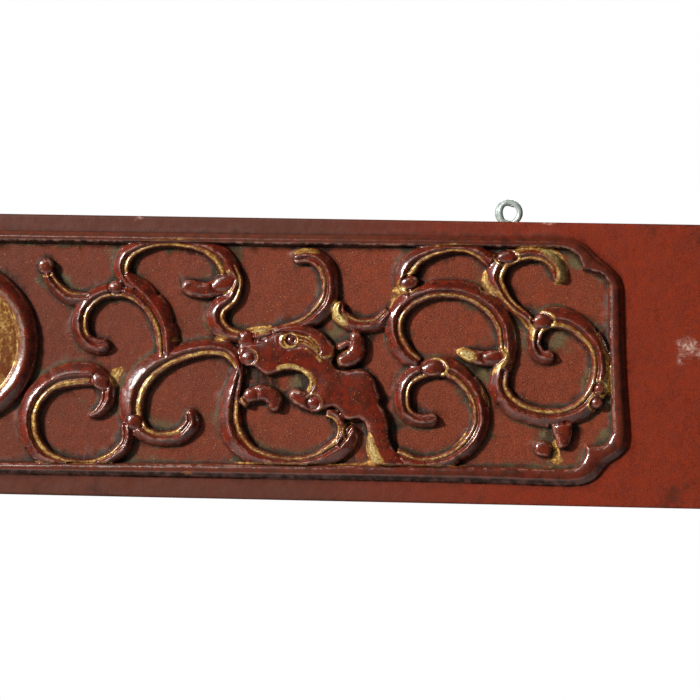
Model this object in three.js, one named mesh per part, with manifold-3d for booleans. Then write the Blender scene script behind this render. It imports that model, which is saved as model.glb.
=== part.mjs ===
// A carved and lacquered wooden wall panel: one plank with a moulded frame, a round medallion in its middle
// and, on each side of that, a dragon whose body and tail run out in scrolls. It hangs from two screw eyes.
// Millimetres. X runs along the panel, Z is up, the back lies in the plane Y = 0 and the carving faces -Y.
import * as THREE from "three";
import { mergeVertices } from "three/addons/utils/BufferGeometryUtils.js";
import Module from "manifold-3d";

const wasm = await Module();
wasm.setup();
const { Manifold, Mesh } = wasm;

// Plank
const boardLength = 1040;
const boardHeight = 190;
const boardThickness = 16;
const plainEnd = 64; // from the frame moulding's foot to the end of the plank
const margin = 12; // from the moulding to the long edges

// Carving
const scrollHeight = 7;
const frameHeight = 4.5;
const bossRise = 0.6; // how far a boss stands above the scroll that it sits on
const embed = 2; // how far each carved form reaches into the plank below the ground

// Medallion
const medallionOuterRadius = 57;
const medallionRidgeRadius = 49.5;
const medallionFieldRadius = 43.5;
const medallionHeight = 9;
const medallionFieldHeight = 4;
const medallionLip = 1.5; // the step from the ring's inner edge down to the field
const medallionShoulder = 0.8; // height halfway down the ring's outer side, as a share of the ring's
const medallionLift = 7; // its centre sits above the plank's mid-line
const medallionSides = 34;

// Screw eyes
const eyeOuterRadius = 9.4;
const eyeWireRadius = 2.2;
const eyeShankLength = 16;
const eyeInset = 147; // from the plank's ends
const eyeBite = 3; // how far the ring is screwed down into the plank's edge
const fitGap = 0.3;

// Fineness of the faceting
const stepLength = 30; // mm along a band, at most
const stepTurn = 0.68; // radians of turn, at most
const readsPerPoint = 24; // how finely a band's line is read before its stations are chosen
const tipShare = 0.3; // where a round end has its extra station, as a share of its radius
const tipBluntness = 0.06; // the square of a round end's last width, as a share of the full width's
const bossSides = 7;
const bossRings = 4;
const ringSides = 20;
const wireSides = 8;

// The drawing of the carving was made for this size; its points are scaled to the size in use.
const drawnHalfLength = 456;
const drawnHalfHeight = 83;
const scaleX = (boardLength / 2 - plainEnd) / drawnHalfLength;
const scaleZ = (boardHeight / 2 - margin) / drawnHalfHeight;
const scaleWidth = Math.min(scaleX, scaleZ);

// Sections across a carved band, from its inner edge (-1) to its outer foot (1), as shares of the height.
const scrollSection = [[-1, 0.74], [-0.12, 1], [0.6, 0.62], [1, -0.04]];
const slimSection = [[-1, 0.78], [0.05, 1], [1, -0.04]];
const domeSection = [[-1, 0.62], [-0.55, 0.98], [0.55, 0.98], [1, 0.62]];
const frameSection = [[-1, -0.04], [-0.42, 1], [0.42, 0.94], [1, -0.04]];

// Each band is a smooth line through its points, [x, z, width]. side is the side of its inner, gilded edge:
// 1 on the left of the way it runs, -1 on the right. Its ends are round unless they are named as open.
const bands = {
  medallion_scroll: {
    side: 1,
    open: "end",
    points: [
      [92, -41, 3], [99, -38, 7], [104.5, -30, 9.5], [104, -20, 11], [96, -13.5, 15], [84, -12.5, 17],
      [70, -16, 16], [58.5, -24.5, 14.5], [52, -36, 14], [51, -48, 14], [54, -59, 14], [62, -68, 12],
      [76, -73, 8], [94, -73.5, 7], [109, -68, 8], [118, -59, 9], [119, -46, 9],
    ],
  },
  antler: {
    side: 1,
    section: slimSection,
    open: "end",
    points: [[61.5, 61, 9], [64, 52, 9], [71, 43.5, 10], [80, 38.5, 10], [91, 38.5, 8]],
  },
  upper_spiral: {
    side: -1,
    section: slimSection,
    open: "end",
    points: [
      [106, 8, 9], [97, 6, 11], [88, 12, 11], [85, 23, 11.5], [88.5, 34, 11], [98, 42, 10], [109, 44.5, 10],
      [120, 42, 8], [129, 34, 5],
    ],
  },
  cloud_body: {
    side: 1,
    open: "both",
    points: [[145, 0, 14], [143.5, 17, 16], [138.5, 30, 16], [130, 41, 16], [121, 49, 13], [115.5, 55, 8]],
  },
  cloud_arch: {
    side: -1,
    open: "both",
    points: [
      [122, 46.5, 7], [115.5, 52, 10], [112.5, 60, 12], [115.5, 68.5, 12], [124.5, 74.5, 9], [140, 77.5, 7],
      [156, 77.5, 8], [171, 74, 11], [181.5, 67, 14], [186, 57, 14], [182, 48, 12],
    ],
  },
  cloud_tip: {
    side: 1,
    section: slimSection,
    open: "start",
    points: [[188, 52, 8], [180, 48, 12], [170, 45.5, 11], [160, 47, 11], [155, 51, 8]],
  },
  horn_loop: {
    side: 1,
    open: "start",
    points: [
      [187, 62, 8], [190.5, 51, 10], [187, 41, 11], [179, 34, 13], [177.5, 25, 14], [184, 17.5, 12],
      [196, 14.5, 9], [210, 16.5, 8], [224, 20, 8], [237, 24, 10], [247.5, 32, 12], [253.5, 43, 12],
      [253.5, 55, 12], [249, 65, 12], [240, 70, 11], [228, 68, 10],
    ],
  },
  back_scroll: {
    side: 1,
    open: "start",
    points: [
      [195, -11, 5], [191.5, -1, 9], [185, 5.5, 11], [175, 7, 11], [163, 5.5, 12], [147, 0.5, 14],
      [133.5, -8, 16], [124, -20, 17.5], [121, -32, 18], [122.5, -43, 15], [131, -52, 11], [143, -55, 10],
      [155, -52.5, 11], [162.5, -44, 11], [160, -35, 8],
    ],
  },
  heart_loop: {
    side: 1,
    open: "start",
    points: [
      [194, -5, 6], [191, -17, 10], [188, -30, 14], [188, -43, 16], [192, -54, 16], [201, -63, 13],
      [215, -68, 10], [231, -69.5, 9], [246, -67.5, 11], [258.5, -61.5, 15], [267.5, -53.5, 14],
      [271.5, -44, 9],
    ],
  },
  heart_tip: {
    side: -1,
    section: slimSection,
    open: "start",
    points: [[196, -31, 6], [202, -25, 10], [211, -23, 11], [218, -28, 11], [217, -35, 8]],
  },
  body: {
    side: -1,
    section: domeSection,
    open: "both",
    points: [
      [238, 5, 26], [252, -4.5, 33], [265, -17, 35], [277.5, -31, 30], [287, -46, 19], [291, -58, 17],
      [299, -67, 12],
    ],
  },
  tail_spiral: {
    side: 1,
    open: "start",
    points: [
      [300, -64, 12], [317, -68.5, 10], [334, -66, 11], [347.5, -57, 12], [355.5, -45, 12],
      [356.5, -32, 12], [352, -19, 12.5], [343, -8.5, 13], [331, -3, 13.5], [317, -5.5, 12.5],
      [307, -12, 11], [303.5, -23, 11], [306, -34, 11], [315, -39.5, 9.5], [328, -38.5, 9],
    ],
  },
  great_ring: {
    side: -1,
    open: "both",
    points: [
      [314, -1, 9], [305, 5, 13], [298.5, 16, 13.5], [297.5, 28, 13.5], [304, 39, 13.5], [316, 46.5, 13],
      [333, 49, 12.5], [349, 46.5, 13], [363, 37.5, 13], [371.5, 25, 13], [373.5, 10, 13], [371, -4, 13],
    ],
  },
  rear_spiral: {
    side: 1,
    open: "start",
    points: [
      [372.5, 4, 12], [369, -7, 13], [368.5, -17, 14], [375, -27, 14], [386, -33, 13], [400, -36, 13],
      [414, -34.5, 13], [426, -28, 14], [434, -16, 14], [436.5, -2, 13], [434, 11, 13], [427, 21, 13.5],
      [415.5, 29, 14.5], [402, 31, 15], [393, 23, 11], [391.5, 12, 10], [397, 5, 10], [405, 5.5, 9],
    ],
  },
  comma: {
    side: 1,
    section: slimSection,
    open: "end",
    points: [[341, 6.5, 5], [348, 4.5, 9], [357, 3, 10], [366, 3.5, 10], [372, 8, 8]],
  },
  top_scroll: {
    side: -1,
    open: "both",
    points: [
      [307, 44, 8], [302.5, 54, 11], [306, 64, 14], [312.5, 70.5, 12], [324, 75, 8.5], [338, 77, 6.5],
      [351, 75, 8], [362, 68, 11],
    ],
  },
  corner_scroll: {
    side: -1,
    section: slimSection,
    open: "start",
    points: [
      [391, 25, 5], [386, 31, 7], [377.5, 37, 8], [369.5, 46, 10], [364.5, 57, 13], [369, 68, 13],
      [381, 72.5, 9], [394, 73, 9], [403, 68.5, 10], [407, 60, 10], [406, 55, 9],
    ],
  },
  link: {
    side: 1,
    section: slimSection,
    open: "end",
    points: [[261, 40, 5], [260, 32, 10], [266, 26, 11], [276, 23.5, 10], [286, 25, 10], [294, 33, 8]],
  },
  ear: {
    side: -1,
    section: domeSection,
    points: [[268, 15.5, 7], [272.5, 9, 11], [270.5, 2, 12], [264, 0, 10]],
  },
  upper_jaw: {
    side: 1,
    section: domeSection,
    open: "end",
    points: [[201, 1, 11], [211, 2, 19], [222, 6.5, 25], [235, 9.5, 27], [248, 6, 26]],
  },
  nose_horn: {
    side: 1,
    section: domeSection,
    open: "start",
    points: [[200, 8, 10], [198, 14, 7], [197, 19, 3]],
  },
  lower_jaw: {
    side: 1,
    section: domeSection,
    open: "end",
    points: [[230, -23.5, 7], [236, -26, 10.5], [245, -29, 13], [257, -29, 13]],
  },
  brow: {
    side: 1,
    section: slimSection,
    rise: 1.5,
    points: [[215, 17, 5], [226, 20.5, 8], [238, 19, 9], [247.5, 12.5, 10], [252, 6, 10]],
  },
};

// Oval bosses: [x, z, half length, half height, turn in degrees].
const bosses = {
  antler_knob: [61.5, 60, 5.5, 5.5, 0],
  medallion_curl: [100, -17.5, 6.5, 5, -50],
  spiral_boss: [109.5, 46.5, 5, 4.6, 0],
  back_boss: [123.5, -44, 5.2, 5.2, 0],
  cloud_boss: [182, 50.5, 8, 5.4, 25],
  heart_boss: [202, -24.5, 5, 5, 0],
  nostril: [199.5, 3, 7, 7, 0],
  eye: [228.5, 12.5, 5.5, 5.5, 0],
  brow_curl: [252.5, 7.5, 5.5, 5.5, 0],
  ear_curl: [265, 0, 5.5, 5.5, 0],
  jaw_boss: [243.5, -29, 5, 5, 0],
  tail_boss: [325, -4.5, 8, 5.6, 10],
  top_boss: [306.5, 54.5, 6, 5.4, 20],
  corner_boss: [369, 72, 7, 4.4, 0],
  ring_boss: [364.5, 4, 8, 5, 5],
  rear_boss: [398, 28.5, 7, 5.4, 0],
  tail_bud_upper: [433.5, -15.5, 4, 4, 0],
  tail_bud_lower: [433, -24.5, 4.6, 4.6, 0],
};

// The foot below the rear spiral: whole on the left, and broken off to two stubs on the right.
const wholeFoot = {
  foot: {
    side: -1,
    open: "start",
    points: [[412, -40, 13], [408, -53, 10], [400, -59.5, 9], [394, -56, 7]],
  },
};
const brokenFoot = {
  foot_stub: {
    side: -1,
    section: domeSection,
    open: "start",
    points: [[411, -40, 14], [411, -49, 9], [409.5, -57, 5]],
  },
  foot_chip: {
    side: 1,
    section: domeSection,
    rise: -2,
    points: [[402, -54, 7], [398, -58, 11], [396, -61, 9]],
  },
};

// The right half of the frame moulding, from the top middle to the bottom middle, with a bracketed corner at
// each end: [x, z] on its inner edge, then [x, z] on its outer edge. It leans and widens as it was carved.
const frameStations = [
  [0, 76, 0, 83.5], [200, 76.5, 200, 84], [405, 77.5, 405, 85], [413, 76.5, 416, 84], [419, 72.5, 425, 80],
  [422, 67.5, 431, 74.5], [423, 63, 436, 70], [430.5, 62, 441.5, 65.5], [437, 59, 447, 60],
  [440.3, 53.5, 450, 53], [442, 0, 452.5, 0], [444.6, -45, 456.5, -46], [440, -52.5, 455.5, -55],
  [426.5, -53.5, 447.5, -63],
  [427, -59, 440, -70], [424.5, -65, 434.5, -76.5], [419, -69, 427, -80.5], [412, -70, 415, -82],
  [350, -69.5, 350, -81], [200, -71, 200, -81], [0, -73.5, 0, -81.5],
];

// A closed mesh from corners and triangles, as a solid that faces outwards whichever way it was written.
function solidFrom(corners, triangles) {
  const position = new THREE.Float32BufferAttribute(corners.flat(), 3);
  let geometry = new THREE.BufferGeometry().setAttribute("position", position);
  geometry.setIndex(triangles.flat());
  geometry = mergeVertices(geometry, 1e-3);
  const mesh = () => new Mesh({
    numProp: 3,
    vertProperties: geometry.attributes.position.array,
    triVerts: new Uint32Array(geometry.index.array),
  });
  const solid = new Manifold(mesh());
  if (solid.volume() > 0) return solid;
  const index = geometry.index.array;
  for (let i = 0; i < index.length; i += 3) [index[i + 1], index[i + 2]] = [index[i + 2], index[i + 1]];
  return new Manifold(mesh());
}

function solidOf(geometry) {
  const bare = geometry.clone();
  bare.deleteAttribute("normal");
  bare.deleteAttribute("uv");
  const merged = mergeVertices(bare, 1e-3);
  const index = merged.index.array;
  const corners = [];
  for (let i = 0; i < merged.attributes.position.count; i++) {
    corners.push(new THREE.Vector3().fromBufferAttribute(merged.attributes.position, i).toArray());
  }
  const triangles = [];
  for (let i = 0; i < index.length; i += 3) {
    const t = [index[i], index[i + 1], index[i + 2]];
    if (new Set(t).size === 3) triangles.push(t);
  }
  return solidFrom(corners, triangles);
}

const tiny = 1e-6;
const onBoard = (x, z, rise) => [x, -boardThickness - rise, z];

// The stations of a band, spread over its smooth line so that none turns or runs past the steps allowed.
function stationsOf({ points, open = "" }) {
  const scaled = points.map(([x, z, w]) => new THREE.Vector3(x * scaleX, z * scaleZ, w * scaleWidth));
  const line = new THREE.CatmullRomCurve3(scaled, false, "centripetal");
  const reads = points.length * readsPerPoint;
  const fine = [];
  for (let i = 0; i <= reads; i++) fine.push(line.getPoint(i / reads));
  const heading = (i) => {
    const a = fine[Math.max(0, i - 1)];
    const b = fine[Math.min(reads, i + 1)];
    return Math.atan2(b.y - a.y, b.x - a.x);
  };
  const along = [0];
  const cost = [0];
  for (let i = 1; i <= reads; i++) {
    const run = Math.hypot(fine[i].x - fine[i - 1].x, fine[i].y - fine[i - 1].y);
    const difference = heading(i) - heading(i - 1);
    const turn = Math.atan2(Math.sin(difference), Math.cos(difference));
    along.push(along[i - 1] + run);
    cost.push(cost[i - 1] + Math.hypot(run / stepLength, turn / stepTurn));
  }
  const length = along[reads];
  const startRadius = open === "start" || open === "both" ? 0 : fine[0].z / 2;
  const endRadius = open === "end" || open === "both" ? 0 : fine[reads].z / 2;
  const from = along.findIndex((s) => s >= startRadius);
  const to = along.findIndex((s) => s >= length - endRadius - tiny);
  const steps = Math.max(2, Math.ceil(cost[to] - cost[from]));
  const picks = [];
  for (let k = 0; k <= steps; k++) {
    const want = cost[from] + ((cost[to] - cost[from]) * k) / steps;
    picks.push(Math.max(from, cost.findIndex((c) => c >= want - tiny)));
  }
  if (startRadius) picks.unshift(0, along.findIndex((s) => s >= tipShare * startRadius));
  if (endRadius) picks.push(along.findIndex((s) => s >= length - tipShare * endRadius), reads);
  const roundness = (s) => {
    const start = startRadius ? Math.min(1, s / startRadius) : 1;
    const end = endRadius ? Math.min(1, (length - s) / endRadius) : 1;
    return Math.sqrt(Math.max(tipBluntness, 1 - (1 - Math.min(start, end)) ** 2));
  };
  return picks.map((i) => {
    const half = (fine[i].z / 2) * roundness(along[i]);
    return { x: fine[i].x, z: fine[i].y, half, nx: -Math.sin(heading(i)), nz: Math.cos(heading(i)) };
  });
}

// Sections of [x, rise, z] corners, each joined to the next, and either to the first again or closed off.
function skin(sections, closed) {
  const n = sections[0].length;
  const count = sections.length;
  const triangles = [];
  for (let i = 0; i < (closed ? count : count - 1); i++) {
    const a = i * n;
    const b = ((i + 1) % count) * n;
    for (let j = 0; j < n; j++) {
      const k = (j + 1) % n;
      triangles.push([a + j, b + j, b + k], [a + j, b + k, a + k]);
    }
  }
  if (!closed) {
    const end = (count - 1) * n;
    for (let j = 1; j < n - 1; j++) triangles.push([0, j, j + 1], [end, end + j + 1, end + j]);
  }
  return solidFrom(sections.flat(), triangles);
}

// A section's points with the two corners that reach into the plank.
function footed(section, height) {
  return [[-1, -embed], ...section.map(([across, up]) => [across, up * height]), [1, -embed]];
}

function bandSolid(band, mirror) {
  const outline = footed(band.section ?? scrollSection, scrollHeight + (band.rise ?? 0));
  return skin(stationsOf(band).map(({ x, z, half, nx, nz }) => outline.map(([across, up]) => {
    const out = -band.side * across * half;
    return onBoard(mirror * (x + nx * out), z + nz * out, up);
  })), false);
}

function frameSolid() {
  const outline = footed(frameSection, frameHeight);
  const half = frameStations.map(([xi, zi, xo, zo]) => outline.map(([across, up]) => {
    const share = (across + 1) / 2;
    return onBoard((xi + (xo - xi) * share) * scaleX, (zi + (zo - zi) * share) * scaleZ, up);
  }));
  const otherHalf = half.slice(1, -1).reverse().map((section) => section.map(([x, y, z]) => [-x, y, z]));
  return skin([...half, ...otherHalf], true);
}

function bossSolid([x, z, halfLength, halfHeight, turn], mirror) {
  const shape = new THREE.SphereGeometry(1, bossSides, bossRings);
  shape.scale(halfLength * scaleWidth, scrollHeight + bossRise, halfHeight * scaleWidth);
  shape.rotateY(-mirror * THREE.MathUtils.degToRad(turn));
  shape.translate(...onBoard(mirror * x * scaleX, z * scaleZ, 0));
  return solidOf(shape);
}

function medallionSolid() {
  const shoulderRadius = (medallionOuterRadius + medallionRidgeRadius) / 2;
  const profile = [
    [0, medallionFieldHeight], [medallionFieldRadius, medallionFieldHeight],
    [medallionFieldRadius + medallionLip, medallionHeight - medallionLip],
    [medallionRidgeRadius, medallionHeight],
    [shoulderRadius, medallionShoulder * medallionHeight], [medallionOuterRadius, 0],
    [medallionOuterRadius, -embed], [0, -embed],
  ];
  const shape = new THREE.LatheGeometry(
    profile.map(([r, up]) => new THREE.Vector2(r * scaleWidth, up)), medallionSides);
  shape.rotateX(Math.PI);
  shape.translate(...onBoard(0, medallionLift * scaleZ, 0));
  return solidOf(shape);
}

function framedBoard() {
  const plank = new THREE.BoxGeometry(boardLength, boardThickness, boardHeight);
  plank.translate(0, -boardThickness / 2, 0);
  return [solidOf(plank), frameSolid(), medallionSolid()];
}

function halfCarving(mirror, foot) {
  const all = Object.values({ ...bands, ...foot });
  return [
    ...all.map((band) => bandSolid(band, mirror)),
    ...Object.values(bosses).map((boss) => bossSolid(boss, mirror)),
  ];
}

// Screw eye: a wire ring on a straight shank that is screwed into the plank's top edge.
const eyeAt = (mirror) => [mirror * (boardLength / 2 - eyeInset), -boardThickness / 2];

// The eye grown by a gap: 0 for the eye itself, and the fit's gap for the seat that is cut for it.
function screwEye(gap) {
  const ringRadius = eyeOuterRadius - eyeWireRadius;
  const wireRadius = eyeWireRadius + gap;
  const ring = new THREE.TorusGeometry(ringRadius, wireRadius, wireSides, ringSides).rotateX(Math.PI / 2);
  ring.translate(0, 0, boardHeight / 2 - eyeBite + eyeOuterRadius);
  const top = boardHeight / 2 - eyeBite + eyeWireRadius;
  const bottom = boardHeight / 2 - eyeShankLength - gap;
  const shank = new THREE.CylinderGeometry(wireRadius, wireRadius, top - bottom, wireSides);
  shank.rotateX(Math.PI / 2).translate(0, 0, (top + bottom) / 2);
  return solidOf(ring).add(solidOf(shank));
}

function meshOf(solid, name, material) {
  const { vertProperties, triVerts } = solid.getMesh();
  const geometry = new THREE.BufferGeometry();
  geometry.setAttribute("position", new THREE.Float32BufferAttribute(vertProperties, 3));
  geometry.setIndex(Array.from(triVerts));
  geometry.computeVertexNormals();
  const mesh = new THREE.Mesh(geometry, material);
  mesh.name = name;
  return mesh;
}

const lacquer = new THREE.MeshStandardMaterial({ color: 0x7c3a2c, roughness: 0.5, metalness: 0 });
const zinc = new THREE.MeshStandardMaterial({ color: 0xa9b3b0, roughness: 0.35, metalness: 0.9 });

const pieces = [...framedBoard(), ...halfCarving(1, brokenFoot), ...halfCarving(-1, wholeFoot)];
const seats = [1, -1].map((mirror) => screwEye(fitGap).translate([...eyeAt(mirror), 0]));
const board = Manifold.union(pieces).subtract(Manifold.union(seats));

const panel = new THREE.Group();
panel.add(meshOf(board, "carved_board", lacquer));
for (const [name, mirror] of [["screw_eye_right", 1], ["screw_eye_left", -1]]) {
  const eye = meshOf(screwEye(0), name, zinc);
  eye.position.set(...eyeAt(mirror), 0);
  panel.add(eye);
}

export default panel;
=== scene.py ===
import math

import bpy
import numpy as np
from mathutils import Matrix, Vector


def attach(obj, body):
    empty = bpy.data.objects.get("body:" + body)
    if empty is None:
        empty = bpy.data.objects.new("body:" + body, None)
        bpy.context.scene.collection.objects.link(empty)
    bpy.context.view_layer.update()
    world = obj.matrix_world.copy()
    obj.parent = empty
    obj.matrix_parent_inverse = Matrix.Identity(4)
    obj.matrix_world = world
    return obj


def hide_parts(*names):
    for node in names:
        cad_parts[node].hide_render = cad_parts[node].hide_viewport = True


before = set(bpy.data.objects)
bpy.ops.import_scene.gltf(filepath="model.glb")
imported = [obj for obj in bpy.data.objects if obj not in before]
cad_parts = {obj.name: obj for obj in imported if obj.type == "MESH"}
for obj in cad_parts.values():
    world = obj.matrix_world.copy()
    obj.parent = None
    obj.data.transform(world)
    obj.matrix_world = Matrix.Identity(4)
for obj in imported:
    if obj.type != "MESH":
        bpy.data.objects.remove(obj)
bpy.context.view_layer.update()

MM = 0.001

# The plank and its carving, with the sizes of the part's source
BOARD_LENGTH = 1040
BOARD_HEIGHT = 190
BOARD_THICKNESS = 16
SCROLL_HEIGHT = 7
FRAME_HEIGHT = 4.5
MEDALLION_LIFT = 7
MEDALLION_RADIUS = 57
EYE_INSET = 147
EYE_BITE = 3
EYE_RADIUS = 9.4

# Finer sizes that only this file has
GROUND_SINK = 1.2  # the ground inside the frame lies this much deeper than the margins
WALL_FOOT = 1.2  # over which the ground sinks beside the frame
HIGHEST = 8.9  # the carving's highest point above the margins
EDGE_WEAR = 0.9  # how deep the plank's edges are worn
EDGE_WEAR_WIDTH = 1.6  # how far in from the edges that wear reaches
HAND_WAVER = 0.3  # how far a band's edges stray, as hand cutting does
CARVED_WAVES = 0.17  # unevenness left on the carving
BOARD_WAVES = 0.1  # unevenness of the whole board
CARVED_FROM = 0.7  # what stands higher than this counts as carved in the masks
RIDGE_SHARE = 0.52  # where a band's ridge runs, from its inner edge, as a share of its width
GROOVE_DEPTH = 0.5  # the line cut along a band's bead
CUSP_LENGTH = 7  # of the cusps in a band's outer edge
CUSP_DEPTH = 0.22  # as a share of the band's half width
FILLET_RISE = 0.55  # the raised line on the frame moulding, which only its upper run has
FILLET_LOWEST, FILLET_FADE = 55, 10  # the z that it starts at, and how gently
RING_PLACE, RING_HALF_WIDTH = 0.45, 0.75  # the ring cut round a boss, from the boss's edge
RIM_PLACE, RIM_HALF_WIDTH = 1.9, 0.95  # the raised rim outside that ring
LEAF_RADIUS = 46  # the gilded disc of the medallion
RUBBED_HIGHLIGHT_RADIUS, RUBBED_HIGHLIGHT_HALF_WIDTH = 47.2, 2.6  # the pale band around that disc, partly worn paint and partly a painted highlight

# Sections as [place, height] pairs, as shares of a form's width and height
BEAD = [[0, 0.3], [0.08, 0.48], [0.25, 0.68], [0.5, 0.79], [0.75, 0.78], [0.92, 0.7], [1, 0.62]]
INNER_SLOPE = [[0, 0], [0.3, 0.42], [0.65, 0.85], [0.88, 0.98], [1, 1]]
OUTER_SLOPE = [[0, 1], [0.03, 0.995], [0.3, 0.87], [0.6, 0.66], [0.8, 0.51], [0.94, 0.4], [1, 0.08]]
DOME = [[0, 1], [0.35, 0.985], [0.6, 0.92], [0.8, 0.78], [0.92, 0.6], [0.98, 0.42], [1, 0.1]]
# The dragon's head and body: place is in mm in from the outline
PILLOW = [[0, 0.4], [0.6, 0.72], [1.6, 0.87], [3.5, 0.95], [7, 1], [13, 1.05]]
# The frame moulding, from its inner to its outer outline
MOULDING = [
    [0, 0], [0.02, 0.62], [0.07, 0.82], [0.15, 0.96], [0.26, 1.06], [0.38, 1.12], [0.5, 1.11], [0.6, 1.04],
    [0.69, 0.9], [0.77, 0.72], [0.85, 0.54], [0.93, 0.42], [1, 0],
]
# The medallion, in mm from its middle and in height
MEDALLION = [
    [0, 5.2], [3, 5.1], [11, 4.4], [13, 3.4], [15, 3.5], [17, 3.9], [40, 3.9], [42.8, 3.6], [43.6, 3.8],
    [44.3, 6.1], [45.4, 6.8], [46.6, 7.4], [47.8, 7.85], [49, 8.2], [50.2, 8.35], [51.2, 8.1], [53, 6.8],
    [55, 5], [56.5, 3.4], [57, 0], [58, 0],
]

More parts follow.
